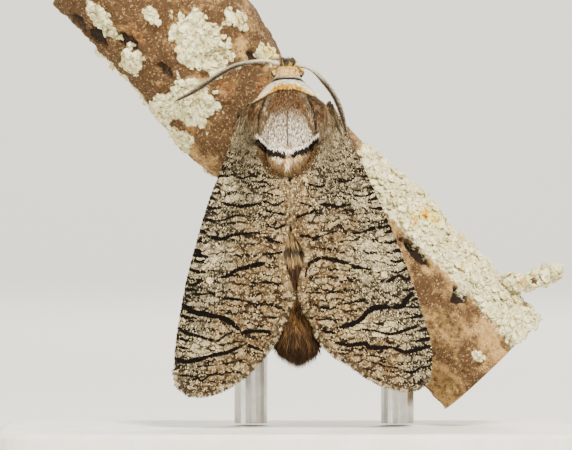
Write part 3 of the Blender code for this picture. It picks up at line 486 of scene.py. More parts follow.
def wing_marking_group():
    """Colour of a wing scale from its place in millimetres, the bold lines and the edges."""
    group, n, given, out = new_group(
        "wing_marking", {"Place": "Vector", **{name.title(): "Float" for name in WING_VALUES}},
        {"Color": "Color", "Height": "Float"})
    flat = n.stretch(given["Place"], (1.0, 0.0, 1.0))
    bent = warped(n, flat, ((0.45, 1.6), (1.9, 0.5)))
    up = n.part(flat, "Z")

    # Ground: grey towards the leading edge and the root, tan elsewhere
    greyness = n.maths("MAXIMUM", n.ramp(given["Costa"], 6.0, 1.5), n.ramp(up, 28.0, 36.0))
    mottled = n.maths("SUBTRACT", n.noise(flat, 0.45, 4.0, 0.6), 0.5)
    greyness = n.maths("ADD", greyness, n.times(mottled, 1.2))
    brown = n.ramp(n.noise(n.stretch(bent, (0.8, 1.0, 1.5)), 0.6, 4.0, 0.62), 0.5, 0.72)
    clouded = 0.0
    for x, z, half_x, half_z in PALE_CLOUDS:
        clouded = n.maths("MAXIMUM", clouded, ellipse_mask(n, bent, (x, z), (half_x, half_z), 0.45))
    warm_base = n.times(n.ramp(given["Inner"], 3.2, 0.8), n.ramp(up, 31.0, 34.0), 0.4)
    colour = n.layered(
        GROUND_TAN, (GROUND_GREY, n.ramp(greyness, 0.1, 0.9)), (GROUND_BROWN, n.times(brown, 0.34)),
        (CREAM, n.times(clouded, 0.4)), (BASE_CREAM, warm_base))

    # Rounded cells with paler middles, between wavy dark lines that come and go
    cells = n.cells(n.stretch(bent, (0.5, 1.0, 0.95)), 1.0)
    here = n.noise(flat, 0.5, 2.0)
    pale = n.times(n.ramp(cells, 0.04, 0.2), n.ramp(here, 0.34, 0.6), 0.24)
    colour = n.layered(colour, (CREAM, pale),
                       (CREAM, n.ramp(n.noise(bent, 2.4, 3.0, 0.6), 0.48, 0.7, 0.0, 0.28)))
    cell_net = n.maths("LESS_THAN", cells, n.ramp(here, 0.34, 0.56, 0.04, 0.075))
    cell_net = n.times(cell_net, n.ramp(here, 0.34, 0.56, 0.45, 0.8))
    presence = n.noise(n.stretch(flat, (0.7, 1.0, 1.6)), 0.8, 2.0, 0.5)
    wavy = warped(n, flat, ((0.45, 1.6), (2.2, 0.22)))
    ripples = ripple_lines(n, wavy, 1.3, n.ramp(presence, 0.32, 0.6, 0.06, 0.15), 2.6, 0.4)
    ripples = n.times(ripples, n.ramp(presence, 0.32, 0.56, 0.75, 1.0))
    fine_width = n.ramp(n.noise(flat, 1.3, 2.0), 0.42, 0.64, 0.0, 0.13)
    fine_ripples = n.times(ripple_lines(n, bent, 0.7, fine_width, 1.5, 1.1), 0.6)
    net = n.maths("MAXIMUM", n.maths("MAXIMUM", ripples, cell_net), fine_ripples)
    net = n.times(net, n.maths("MULTIPLY_ADD", n.ramp(given["Inner"], 0.7, 1.2), 0.55, 0.45))
    colour = n.blend(net, colour, NET_BROWN)
    for x, z, radius in ROUND_SPOTS:
        ring = ellipse_mask(n, flat, (x, z), (radius * 1.45, radius * 1.45), 0.12)
        spot = ellipse_mask(n, flat, (x, z), (radius, radius), 0.15)
        colour = n.layered(colour, (GROUND_BROWN, n.times(ring, 0.7)), (CREAM, n.times(spot, 0.8)))

    # A brown edge on both sides of the seam between the wings
    seam = n.times(n.ramp(given["Inner"], 0.54, 0.42), n.ramp(given["Inner"], 0.1, 0.2),
                   n.ramp(up, 27.0, 29.0, 0.0, 0.75))

    # Single pale and dark scales
    lively = n.maths("ADD", n.times(n.ramp(greyness, 0.2, 0.8), 0.07), 0.08)
    dark_scale = n.maths("LESS_THAN", given["Fleck"], lively)
    pale_scale = n.maths("GREATER_THAN", given["Fleck"], n.maths("SUBTRACT", 1.0, lively))

    # The chequered fringe along the outer margin
    checks = n.ramp(n.noise(flat, 1.5, 0.0), 0.46, 0.52)
    fringe = n.times(n.ramp(given["Margin"], 0.9, 0.5), checks, 0.7)
    rim = n.times(n.ramp(given["Margin"], 0.3, 0.1), n.maths("SUBTRACT", 1.0, checks), 0.3)

    colour = n.layered(
        colour, (GROUND_BROWN, seam), (NET_BROWN, n.times(dark_scale, 0.6)), (CREAM, n.times(pale_scale, 0.55)),
        (FRINGE_BROWN, fringe), (CREAM, rim), (LINE_BLACK, n.ramp(given["Line"], 0.43, 0.53)))
    tone = n.add("ShaderNodeHueSaturation", {"Color": colour, "Value": given["Shade"]})
    n.feed(out["Color"], tone.outputs["Color"])
    n.feed(out["Height"], n.noise(given["Place"], 9.0, 2.0))
    return group


def wing_material(group):
    material, n, shader = new_material("wing_scales", roughness=0.8, specular=0.08)
    marking = n.add("ShaderNodeGroup", node_tree=group)
    n.feed(marking.inputs["Place"], n.attribute("place", "Vector"))
    for name in WING_VALUES:
        n.feed(marking.inputs[name.title()], n.attribute(name))
    n.dress(shader, marking.outputs["Color"], marking.outputs["Height"], 0.25, 0.00004)
    return material


# The bold dark lines of each forewing: half width at both ends, then x and z along each
LEFT_LINES = (
    (0.17, 0.25, ((-9.4, 23.8), (-8.2, 24.0), (-6.7, 24.9), (-4.6, 25.4), (-3.0, 25.8))),
    (0.3, 0.26, ((-14.2, 20.4), (-13.0, 19.4), (-10.6, 18.9), (-8.4, 18.4), (-6.9, 17.4), (-6.2, 16.6))),
    (0.3, 0.14, ((-6.2, 16.7), (-4.4, 16.9), (-2.4, 16.8))),
    (0.3, 0.16, ((-15.0, 13.2), (-13.5, 12.8), (-11.6, 13.2), (-9.3, 13.8), (-7.4, 14.4), (-5.9, 15.2))),
    (0.12, 0.12, ((-5.7, 15.0), (-4.3, 14.6), (-3.4, 14.2))),
    (0.26, 0.05, ((-10.7, 29.2), (-9.6, 28.9), (-8.7, 28.8), (-7.7, 29.3), (-5.2, 29.6), (-2.1, 29.5))),
    (0.12, 0.12, ((-3.6, 26.9), (-2.3, 26.9), (-0.9, 27.2))),
    (0.1, 0.08, ((-14.7, 11.0), (-12.4, 10.8), (-11.4, 10.3), (-10.4, 11.1), (-8.6, 11.1))),
    (0.2, 0.06, ((-14.6, 16.8), (-12.4, 16.2), (-9.6, 15.6), (-8.2, 16.4), (-6.4, 17.2))),
    (0.22, 0.12, ((-12.8, 26.7), (-11.6, 26.6), (-10.5, 26.4))),
    (0.26, 0.12, ((-13.6, 23.0), (-12.6, 22.8), (-11.5, 23.6))),
    (0.1, 0.06, ((-3.0, 25.6), (-1.8, 25.3), (-1.2, 25.2))),
    (0.07, 0.1, ((-7.4, 23.0), (-5.8, 23.0), (-4.5, 23.2), (-2.2, 23.2), (-1.2, 22.6))),
    (0.16, 0.07, ((-9.0, 21.2), (-6.3, 20.9), (-4.9, 20.5), (-3.2, 20.3), (-2.2, 20.5))),
    (0.1, 0.14, ((-9.6, 37.0), (-7.6, 37.2), (-6.3, 36.7), (-5.0, 37.0), (-3.6, 36.7))),
    (0.12, 0.15, ((-9.2, 33.7), (-7.2, 33.1), (-5.7, 33.1), (-3.9, 33.5))),
    (0.12, 0.1, ((-3.7, 33.8), (-2.7, 33.5), (-1.8, 33.2), (-0.6, 33.9))),
    (0.12, 0.13, ((-3.3, 32.6), (-2.3, 32.3), (-0.5, 32.0))),
    (0.13, 0.13, ((-3.2, 30.9), (-2.3, 30.3), (-1.4, 30.3), (-0.5, 30.7))),
    (0.1, 0.14, ((-3.4, 29.2), (-2.2, 28.6), (-0.9, 28.3))),
    (0.13, 0.12, ((-4.9, 36.2), (-3.2, 36.2), (-2.6, 35.7))),
    (0.12, 0.06, ((-11.6, 31.6), (-9.2, 31.2), (-6.8, 31.9), (-3.4, 31.4))),
    (0.08, 0.12, ((-8.4, 40.2), (-6.6, 39.8), (-4.8, 40.1))),
    (0.16, 0.07, ((-13.0, 21.6), (-10.6, 21.7), (-8.0, 22.2))),
    (0.07, 0.07, ((-13.0, 12.1), (-10.4, 12.3), (-8.0, 12.7), (-5.2, 13.3))),
    (0.06, 0.05, ((-6.8, 19.6), (-4.6, 18.9), (-2.4, 18.6), (-0.9, 19.1))),
)
RIGHT_LINES = (
    (0.1, 0.26, ((1.9, 23.6), (2.3, 25.3), (3.1, 26.1), (4.3, 26.4), (6.4, 26.0), (7.8, 25.5))),
    (0.26, 0.1, ((7.8, 25.5), (9.0, 25.1), (10.8, 24.8))),
    (0.24, 0.3, ((6.4, 17.4), (8.2, 17.8), (9.1, 18.3), (10.0, 19.2), (11.1, 19.9), (13.3, 19.9))),
    (0.3, 0.26, ((13.3, 19.9), (14.7, 20.1), (15.1, 20.8), (16.2, 21.9))),
    (0.2, 0.26, ((6.0, 15.3), (7.8, 15.1), (9.9, 15.2), (10.4, 14.7), (13.3, 14.7))),
    (0.26, 0.24, ((13.3, 14.7), (15.1, 14.1), (16.9, 14.4), (18.3, 14.7))),
    (0.12, 0.2, ((7.8, 29.6), (9.4, 29.7), (10.8, 30.2), (12.9, 30.5), (13.9, 31.0))),
    (0.14, 0.12, ((3.8, 20.0), (5.2, 19.9))),
    (0.06, 0.16, ((5.6, 20.3), (6.8, 20.4), (9.0, 20.8), (10.1, 20.9))),
    (0.13, 0.1, ((4.3, 16.9), (6.0, 16.6))),
    (0.1, 0.08, ((3.3, 18.4), (5.1, 18.4), (6.2, 18.0))),
    (0.08, 0.12, ((9.6, 12.8), (11.4, 12.6), (12.6, 12.2), (14.6, 11.9))),
    (0.12, 0.12, ((14.7, 11.5), (16.2, 11.4), (16.9, 11.9), (18.3, 12.2))),
    (0.07, 0.1, ((1.6, 22.0), (2.9, 21.9), (5.5, 21.9), (6.8, 22.3), (8.6, 22.2))),
    (0.2, 0.16, ((12.6, 23.2), (14.2, 24.0), (15.3, 23.6), (16.4, 24.6))),
    (0.08, 0.2, ((9.0, 17.2), (11.0, 16.9), (13.0, 16.4), (15.4, 17.0), (16.9, 17.5))),
    (0.13, 0.14, ((0.7, 31.6), (2.2, 32.1), (3.5, 32.6))),
    (0.12, 0.15, ((3.8, 33.3), (5.2, 33.3), (6.2, 33.0), (8.0, 33.4))),
    (0.12, 0.1, ((1.2, 33.5), (2.7, 33.2))),
    (0.14, 0.12, ((2.2, 36.0), (3.6, 35.6), (4.6, 35.8))),
    (0.17, 0.15, ((1.2, 29.3), (2.8, 29.2))),
    (0.15, 0.12, ((2.8, 28.6), (3.9, 29.2), (6.2, 29.9))),
    (0.12, 0.1, ((5.6, 36.6), (7.2, 36.3), (8.6, 36.9))),
    (0.08, 0.12, ((4.6, 39.6), (6.2, 39.2), (7.6, 39.6))),
    (0.06, 0.12, ((4.6, 34.6), (6.8, 34.9), (9.4, 34.4), (11.2, 35.0))),
    (0.07, 0.1, ((7.4, 31.8), (9.6, 32.2), (12.2, 32.0))),
    (0.06, 0.05, ((2.4, 20.6), (3.6, 20.9), (5.0, 20.6))),
    (0.07, 0.06, ((5.4, 14.2), (8.0, 13.8), (10.6, 13.6), (13.0, 13.2))),
)
COSTAL_BAR_STEP = 1.36


def costal_bars(rim, side, seed):
    """Short dark bars that slant down and inward from the leading edge."""
    draw = np.random.default_rng(seed)
    bars = []
    z = 45.0
    while z > 12.0:
        level = rim[np.abs(rim[:, 1] - z) < 0.5]
        if not len(level):
            z -= COSTAL_BAR_STEP
            continue
        edge = (level[:, 0] * side).max() * side
        reach = draw.uniform(0.9, 2.6)
        drop = draw.uniform(-0.1, 0.55)
        bend = draw.uniform(-0.15, 0.3)
        bars.append((draw.uniform(0.16, 0.27), 0.08, (
            (edge, z), (edge - side * reach * 0.5, z - drop * 0.5 - bend), (edge - side * reach, z - drop))))
        z -= COSTAL_BAR_STEP * draw.uniform(0.75, 1.25)
    return tuple(bars)


def line_mask(x, z, lines):
    """How much a place lies on a dark line: 1 in its middle, a half at its ragged edge."""
    flat = np.stack([x, z, np.zeros_like(x)], axis=1)
    ragged = noise_at(flat, 2.4) * 0.1 + noise_at(flat, 6.0, 3.0) * 0.09
    swell = 1.0 + 0.5 * noise_at(flat, 0.8, 11.0)
    mask = np.zeros(len(x))
    for start_width, end_width, points in lines:
        path = curve_through(points, 6 * len(points))
        low = path.min(axis=0) - 1.0
        high = path.max(axis=0) + 1.0
        close = np.flatnonzero((x > low[0]) & (x < high[0]) & (z > low[1]) & (z < high[1]))
        nearest = np.full(len(close), 1e9)
        share = np.zeros(len(close))
        for k, ((ax, az), (bx, bz)) in enumerate(zip(path[:-1], path[1:])):
            run = (bx - ax) ** 2 + (bz - az) ** 2
            t = np.clip(((x[close] - ax) * (bx - ax) + (z[close] - az) * (bz - az)) / run, 0.0, 1.0)
            gap = np.hypot(x[close] - ax - t * (bx - ax), z[close] - az - t * (bz - az))
            share = np.where(gap < nearest, (k + t) / (len(path) - 1), share)
            nearest = np.minimum(nearest, gap)
        taper = smoothstep(0.0, 0.12, share) * smoothstep(1.0, 0.88, share) * 0.6 + 0.4
        half = (start_width + (end_width - start_width) * share) * swell[close] * taper * 1.2
        value = 1.0 - 0.5 * np.maximum(nearest + ragged[close], 0.0) / np.maximum(half, 0.02)
        mask[close] = np.maximum(mask[close], value)
    return np.clip(mask, 0.0, 1.0)


WING_PARTS = {
    "left": {"side": -1, "root": (-3.2, 47.5), "tip": (-15.1, 10.9), "corner": (0.4, 21.6),
             "lines": LEFT_LINES},
    "right": {"side": 1, "root": (2.6, 47.5), "tip": (18.2, 10.2), "corner": (1.1, 21.3),
              "lines": RIGHT_LINES},
}
MEMBRANE_THICKNESS = 0.16
WING_COAT = 0.12


class Wing:
    """A wing's outer face, rounded, with what its scales need to know."""

    def __init__(self, name, part):
        self.name, self.part, self.side = name, part, part["side"]
        self.sheet, normals = rounded(NODES[name], 2, front_only=True)
        self.normals = normals * (-1.0 if normals[:, 1].mean() > 0 else 1.0)
        self.points, self.triangles = mesh_arrays(self.sheet)
        self.low, self.high = self.points.min(axis=0), self.points.max(axis=0)
        self.tree = tree_of(self.sheet)
        self.rim = self.outline()
        self.lines = part["lines"] + costal_bars(self.rim, self.side, 7)

    def outline(self):
        """Flat places on the outline, without those of seams inside it."""
        work = bmesh.new()
        work.from_mesh(self.sheet.data)
        rim = np.array([v.co[:] for v in work.verts if v.is_boundary]) / MM
        work.free()
        ring = [(0.45 * math.cos(turn), 0.45 * math.sin(turn)) for turn in np.linspace(0.0, 6.0, 12)]
        outside = [any(front_hit(self.tree, x + a, z + b)[0] is None for a, b in ring) for x, _, z in rim]
        return rim[np.array(outside)][:, (0, 2)]

    def distances(self, points):
        """Distances to the leading, the outer and the inner edge."""
        root, tip, corner = (np.array(self.part[k]) for k in ("root", "tip", "corner"))
        flat = points[:, (0, 2)]
        axis = (tip - root) / np.linalg.norm(tip - root)
        outward = np.array((-axis[1], axis[0])) * self.side
        chord = (corner - tip) / np.linalg.norm(corner - tip)
        below = (self.rim - tip) @ np.array((chord[1], -chord[0])) * self.side < 0.35
        along_costa = ~below & ((self.rim - root) @ outward > -1.2)
        by_seam = np.abs(self.rim[:, 0] - MIDDLE_X) < 2.4
        along_inner = ~below & ~along_costa & by_seam & (self.rim[:, 1] < 37.0)
        distances = []
        for chosen in (along_costa, below, along_inner):
            nearest = np.full(len(flat), 60.0)
            for place in self.rim[chosen]:
                nearest = np.minimum(nearest, np.hypot(*(flat - place).T))
            distances.append(nearest)
        return distances

    def map_places(self, points, behind=False):
        """Where the points lie in the bake map. The under face has its own part beside the other's."""
        scale = UNWRAP_SPAN / (self.high - self.low)[2]
        places = UNWRAP_EDGE + (points[:, (0, 2)] - self.low[[0, 2]]) * scale
        return places + (behind * ((self.high - self.low)[0] * scale + 0.04), 0.0)

    def rows(self, pitch_x, pitch_z, draw):
        """Places in staggered rows, seen from the front, with their normals."""
        places = []
        normals = []
        for row, z in enumerate(np.arange(self.low[2], self.high[2], pitch_z)):
            for x in np.arange(self.low[0] + (row % 2) * pitch_x / 2, self.high[0], pitch_x):
                at_x = x + draw.uniform(-0.3, 0.3) * pitch_x
                hit, normal = front_hit(self.tree, at_x, z + draw.uniform(-0.3, 0.3) * pitch_z)
                if hit is not None:
                    places.append(hit[:])
                    normals.append(normal[:])
        normals = np.array(normals)
        return np.array(places), normals * -np.sign(normals[:, 1:2])

    def mark(self, piece, distances, draw, times, dim=1.0, under=False):
        """Place and markings at every point, and a shade for each scale. Lines are fainter under the wing."""
        points, _ = mesh_arrays(piece)
        count = len(points) // times
        if times > 1:
            points = points + spread(draw.uniform(-0.05, 0.05, (count, 3)), times)
        line = line_mask(points[:, 0], points[:, 2], self.lines)
        shade = np.clip(draw.normal(0.98, 0.26, count), 0.4, 1.8) * dim
        put_values(piece, "place", points)
        put_values(piece, "line", np.where(under, line * 0.45, line))
        for label, value in zip(WING_VALUES[1:], (*distances, shade, draw.random(count))):
            put_values(piece, label, spread(value, times))

    def dress(self, material, slot, pitches):
        """Overlapping scales on both faces, which lie from the root to the margin."""
        origin = np.array((self.part["root"][0], 0.0, self.part["root"][1]))
        for face, (pitch_x, pitch_z) in zip(("upper", "under"), pitches):
            behind = face == "under"
            draw = np.random.default_rng(31 + self.side + len(face))
            base, outward = self.rows(pitch_x, pitch_z, draw)
            roots = base - outward * (WING_COAT + behind * (0.04 + MEMBRANE_THICKNESS))
            lies = unit_rows((base - origin) * (1.0, 0.0, 1.0)) + np.array((0.0, 0.0, -0.35))
            lies = lies + draw.normal(0.0, 0.15, base.shape)
            lengths = pitch_z * draw.uniform(2.0, 3.0, len(base))
            widths = pitch_x * draw.uniform(1.0, 1.5, len(base))
            coat = grow_plates("%s_%s_scales" % (self.name, face), roots, -outward if behind else outward, lies,
                               lengths, widths, draw.uniform(0.08, 0.26, len(base)),
                               self.map_places(base, behind))
            self.mark(coat, self.distances(base), draw, 5, under=behind)
            finish_piece(coat, material, slot)

    def membrane(self):
        """A closed membrane behind the scales."""
        quads = np.array([p.vertices[:] for p in self.sheet.data.polygons if len(p.vertices) == 4])
        edges = {}
        for quad in quads:
            for a, b in zip(quad, np.roll(quad, -1)):
                edges.setdefault((min(a, b), max(a, b)), []).append((a, b))
        rim = np.array([found[0] for found in edges.values() if len(found) == 1])
        count = len(self.points)
        front = self.points - self.normals * (WING_COAT + 0.02)
        back = front - self.normals * MEMBRANE_THICKNESS
        sides = np.stack([rim[:, 1], rim[:, 0], rim[:, 0] + count, rim[:, 1] + count], axis=1)
        piece = mesh_from_arrays(self.name + "_membrane", np.vstack([front, back]),
                                 np.vstack([quads, quads[:, ::-1] + count, sides]))
        put_bake_map(piece, np.vstack([self.map_places(self.points, behind) for behind in (False, True)]))
        distances = [np.tile(d, 2) for d in self.distances(self.points)]
        self.mark(piece, distances, np.random.default_rng(3), 1, 0.85, np.repeat((False, True), count))
        return piece


def build_wing(name, part, material, slot, pitches, hair):
    wing = Wing(name, part)
    wing.dress(material, slot, pitches)
    membrane = wing.membrane()
    if name.startswith("forewing"):
        grow_fringe(wing, material, slot)
        grow_base_hair(wing, hair)
    bpy.data.objects.remove(wing.sheet, do_unlink=True)
    finish_piece(membrane, material, slot, name)


def grow_fringe(wing, material, slot):
    """Narrow scales that stand out from the outer and the inner margin."""
    work = bmesh.new()
    work.from_mesh(wing.sheet.data)
    draw = np.random.default_rng(17)
    roots = []
    outward = []
    ways = []
    for edge in work.edges:
        if not edge.is_boundary:
            continue
        face = edge.link_faces[0]
        a, b = (np.array(v.co[:]) / MM for v in edge.verts)
        normal = np.array(face.normal[:])
        normal = normal * -np.sign(normal[1])
        way = np.cross(b - a, normal)
        if way @ ((a + b) / 2 - np.array(face.calc_center_median()[:]) / MM) < 0:
            way = -way
        for _ in range(int(np.linalg.norm(b - a) / 0.035) + 1):
            roots.append(a + (b - a) * draw.random() - normal * draw.uniform(0.1, 0.35))
            outward.append(normal)
            ways.append(way / np.linalg.norm(way))
    work.free()
    roots, outward, ways = (np.array(v) for v in (roots, outward, ways))
    distances = wing.distances(roots)
    keep = (distances[1] < 0.4) | (distances[2] < 0.4)
    roots, outward, ways = roots[keep], outward[keep], ways[keep]
    distances = [d[keep] for d in distances]
    count = len(roots)
    ways = ways + (0.0, 0.0, -0.35) + draw.normal(0.0, 0.12, ways.shape)
    inner = draw.uniform(0.16, 0.32, count) + 0.16 * smoothstep(30.0, 31.5, roots[:, 2])
    lengths = np.where(distances[1] < 0.5, draw.uniform(0.4, 0.75, count), inner)
    coat = grow_plates(wing.name + "_fringe", roots - ways * 0.12, outward, ways, lengths,
                       draw.uniform(0.07, 0.12, count), draw.uniform(-0.12, 0.12, count),
                       wing.map_places(roots))
    wing.mark(coat, distances, draw, 5)
    finish_piece(coat, material, slot)


BASE_HAIR_COLOURS = (dye(88, 66, 40), dye(108, 93, 68), dye(190, 174, 138), dye(36, 25, 15))


def grow_base_hair(wing, hair):
    """Short streaky hair from the shoulder over the root of the wing, thinning out downwards."""
    middle = wing.points[wing.triangles].mean(axis=1)

    def beside_bib(places):
        side = np.abs(places[:, 0] - MIDDLE_X)
        rear = places[:, 2] - np.interp(side, *BIB_REAR)
        behind = smoothstep(-0.1, 0.3, rear) * (1.0 - smoothstep(40.8, 41.3, places[:, 2]))
        return (1.0 - smoothstep(3.7, 4.1, side)) * behind

    weights = smoothstep(36.0, 45.0, middle[:, 2]) ** 1.5 + 1.2 * beside_bib(middle) + 1e-6
    count = 6800
    roots, outward, _, draw = scatter(wing.points, wing.triangles, weights, count, 23 + wing.side)
    outward = outward * -np.sign(outward[:, 1:2])
    clump = np.stack([noise_at(roots, 1.1, 3.0 * k) for k in range(3)], axis=1)
    lies = np.array((0.14 * wing.side, 0.0, -1.0)) + clump * 0.22 + draw.normal(0.0, 0.14, roots.shape)
    length = draw.uniform(0.4, 0.8, count) * (0.75 + 0.45 * smoothstep(39.0, 45.0, roots[:, 2]))
    coat = grow_coat(wing.name + "_base_hair", roots - outward * 0.12, outward, lies, length,
                     draw.uniform(0.05, 0.09, count), draw.uniform(0.05, 0.22, count), wing.map_places(roots),
                     sink=0.08, curl=draw.normal(0.0, 0.06, count))
    streak = noise_at(roots * (1.0, 1.0, 0.35), 1.6, 2.0)
    brown, grey, white, dark = BASE_HAIR_COLOURS
    fleck = draw.random(count)
    browner = smoothstep(43.4, 46.4, roots[:, 2] + streak)
    flank = mix(BIB_RIM, BIB_GOLD, chance(fleck + 0.4 * streak, 0.34) * 0.75)
    colour = layered(
        grey, (brown, browner),
        (white, smoothstep(0.7, 0.92, fleck + 0.3 * streak) * (1.0 - 0.6 * browner) * 0.8),
        (dark, smoothstep(0.36, 0.14, fleck + 0.25 * streak) * 0.9), (flank, beside_bib(roots)))
    put_coat_values(coat, roots, colour, draw)
    finish_piece(coat, hair, "grey_scales")


# Body: one skin round the head, thorax and abdomen, found with rays that fan out from its axis

BODY_NODES = (
    "head", "collar", "thorax", "tegula_left", "tegula_right", "abdomen_front", "abdomen_middle",
    "abdomen_tip",
)
BODY_AXIS = (
    (50.6, -0.3, -7.8),
    (48.0, -0.35, -8.9),
    (44.0, -0.3, -8.9),
    (38.0, -0.05, -8.2),
    (30.0, 0.15, -7.8),
    (22.0, 0.6, -7.8),
    (15.6, 1.0, -8.0),
)
AXIS_TOP, AXIS_BOTTOM = BODY_AXIS[0][0], BODY_AXIS[-1][0]
BODY_SECTORS = 128
RING_STEP = 0.2
MIDDLE_X = -0.39


def axis_at(z):
    table = np.array(BODY_AXIS)[::-1]
    return np.array((np.interp(z, table[:, 0], table[:, 1]), np.interp(z, table[:, 0], table[:, 2]), z))


def smooth_grid(values, reach_rows, reach_columns):
    """A soft blur of a table whose columns close into a ring."""
    for axis, reach in ((0, reach_rows), (1, reach_columns)):
        steps = np.arange(-3 * reach, 3 * reach + 1)
        weights = np.exp(-0.5 * (steps / max(reach, 0.5)) ** 2)
        weights /= weights.sum()
        padding = [(3 * reach, 3 * reach) if k == axis else (0, 0) for k in (0, 1)]
        padded = np.pad(values, padding, mode="edge" if axis == 0 else "wrap")
        values = sum(
            w * np.take(padded, np.arange(values.shape[axis]) + k, axis=axis)
            for k, w in enumerate(weights)
        )
    return values


def body_grid():
    """The skin's points, ring by ring from the crown to the tail."""
    tree = tree_of(*(NODES[name] for name in BODY_NODES), NODES["eye_left"], NODES["eye_right"])
    fans = [(axis_at(AXIS_TOP), lift) for lift in np.linspace(86.0, 6.0, 12)]
    fans += [(axis_at(z), 0.0) for z in np.arange(AXIS_TOP - RING_STEP, AXIS_BOTTOM, -RING_STEP)]
    fans += [(axis_at(AXIS_BOTTOM), -drop) for drop in np.linspace(0.0, 84.0, 16)]
    turns = np.linspace(0.0, 2 * math.pi, BODY_SECTORS, endpoint=False) + math.pi
    radii = np.full((len(fans), BODY_SECTORS), np.nan)
    ways = np.zeros((len(fans), BODY_SECTORS, 3))
    starts = np.zeros((len(fans), 1, 3))
    for i, (start, lift) in enumerate(fans):
        rise = math.radians(lift)
        starts[i, 0] = start
        for j, turn in enumerate(turns):
            way = Vector((math.sin(turn) * math.cos(rise), -math.cos(turn) * math.cos(rise), math.sin(rise)))
            ways[i, j] = way
            hit = tree.ray_cast(Vector(start) + way * 20.0, -way, 20.0)[0]
            if hit is not None:
                radii[i, j] = (hit - Vector(start)).length
    rows = np.arange(len(fans))
    for j in range(BODY_SECTORS):
        found = ~np.isnan(radii[:, j])
        radii[:, j] = np.interp(rows, rows[found], radii[found, j])
    radii = smooth_grid(radii, 2, 1)
    shell = starts + ways * radii[..., None]
    z = shell[..., 2]
    depth = np.interp(z, (12.5, 15.5, 18.0, 30.0, 39.0, 48.0, 50.0), (1.5, 1.2, 0.6, 0.45, 0.5, 0.45, 0.28))
    near_eye = np.zeros_like(z)
    for x in EYE_PLACES_X:
        gap = np.linalg.norm(shell - np.array((x, *EYE_PLACE_YZ)), axis=2)
        near_eye = np.maximum(near_eye, 1.0 - smoothstep(0.75, 1.2, gap))
    return starts + ways * (radii - depth - 0.3 * near_eye)[..., None]


class Surface:
    """A grid of points in rows and closed columns, with what its coat needs to know."""

    def __init__(self, grid, inside):
        self.grid = grid
        self.down = unit_rows(np.gradient(grid, axis=0))
        wide = np.concatenate([grid[:, -1:], grid, grid[:, :1]], axis=1)
        across = np.gradient(wide, axis=1)[:, 1:-1]
        cross = np.cross(np.gradient(grid, axis=0), across)
        outward = np.sum(cross * (grid - inside), axis=2, keepdims=True)
        self.area = np.linalg.norm(cross, axis=2)
        self.normals = unit_rows(cross) * np.where(np.median(outward) < 0, -1.0, 1.0)
        run = np.linalg.norm(np.diff(grid, axis=0), axis=2).mean(axis=1)
        self.run = np.concatenate([[0.0], np.cumsum(run)])
        self.rows, self.columns = grid.shape[:2]
        self.scale = UNWRAP_SPAN / max(self.run[-1], self.area.sum() / self.run[-1])
        self.width = self.area.sum() / self.run[-1] * self.scale

    def unwrapped(self, row, column):
        row, column = np.broadcast_arrays(row, column)
        across = UNWRAP_EDGE + column / self.columns * self.width
        along = UNWRAP_EDGE + np.interp(row, np.arange(self.rows), self.run) * self.scale
        return np.stack([across, along], axis=-1)

    def piece(self, name):
        """The mesh, closed with a fan over each end, and its bake map."""
        index = np.arange(self.rows * self.columns).reshape(self.rows, self.columns)
        i, j = (k.ravel() for k in np.indices((self.rows - 1, self.columns)))
        k = (j + 1) % self.columns
        quads = np.stack([index[i, j], index[i, k], index[i + 1, k], index[i + 1, j]], axis=1)
        quad_places = np.stack([self.unwrapped(i + a, j + b) for a, b in ((0, 0), (0, 1), (1, 1), (1, 0))],
                               axis=1)
        points = self.grid.reshape(-1, 3)
        a, b, c = (points[quads[:, n]] for n in (0, 1, 2))
        facing = np.sum(np.cross(b - a, c - a) * self.normals.reshape(-1, 3)[quads[:, 0]], axis=1)
        fans = []
        fan_places = []
        ring = np.arange(self.columns)
        for pole, row, steps in ((len(points), 0, (1, 0)), (len(points) + 1, self.rows - 1, (0, 1))):
            sides = [index[row, (ring + step) % self.columns] for step in steps]
            fans.append(np.stack([np.full_like(ring, pole), *sides], axis=1))
            fan_places.append(np.stack([self.unwrapped(row, ring + step) for step in (0.5, *steps)], axis=1))
        tables = [quads, np.vstack(fans), quad_places, np.vstack(fan_places)]
        if np.median(facing) < 0:
            tables = [table[:, ::-1] for table in tables]
        made = mesh_from_arrays(name, self.with_poles(self.grid), *tables[:2])
        layer = made.data.uv_layers.new(name="OFBake")
        layer.data.foreach_set("uv", np.vstack([table.reshape(-1, 2) for table in tables[2:]]).ravel())
        return made

    def with_poles(self, values):
        flat = values.reshape(self.rows * self.columns, -1)
        ends = np.stack([values[0].reshape(self.columns, -1).mean(axis=0),
                         values[-1].reshape(self.columns, -1).mean(axis=0)])
        whole = np.vstack([flat, ends])
        return whole[:, 0] if values.ndim == 2 else whole

    def scatter(self, weights, count, seed):
        draw = np.random.default_rng(seed)
        chance = (self.area * weights).ravel()
        cell = draw.choice(len(chance), size=count, p=chance / chance.sum())
        i, j = np.divmod(cell, self.columns)
        i = np.minimum(i, self.rows - 2)
        fi, fj = draw.random(count)[:, None], draw.random(count)[:, None]
        k = (j + 1) % self.columns

        def between(table):
            upper = table[i, j] * (1 - fj) + table[i, k] * fj
            lower = table[i + 1, j] * (1 - fj) + table[i + 1, k] * fj
            return upper * (1 - fi) + lower * fi

        places = self.unwrapped(i + fi[:, 0], j + fj[:, 0])
        return between(self.grid), unit_rows(between(self.normals)), unit_rows(between(self.down)), places, draw


# Colours of the furry body

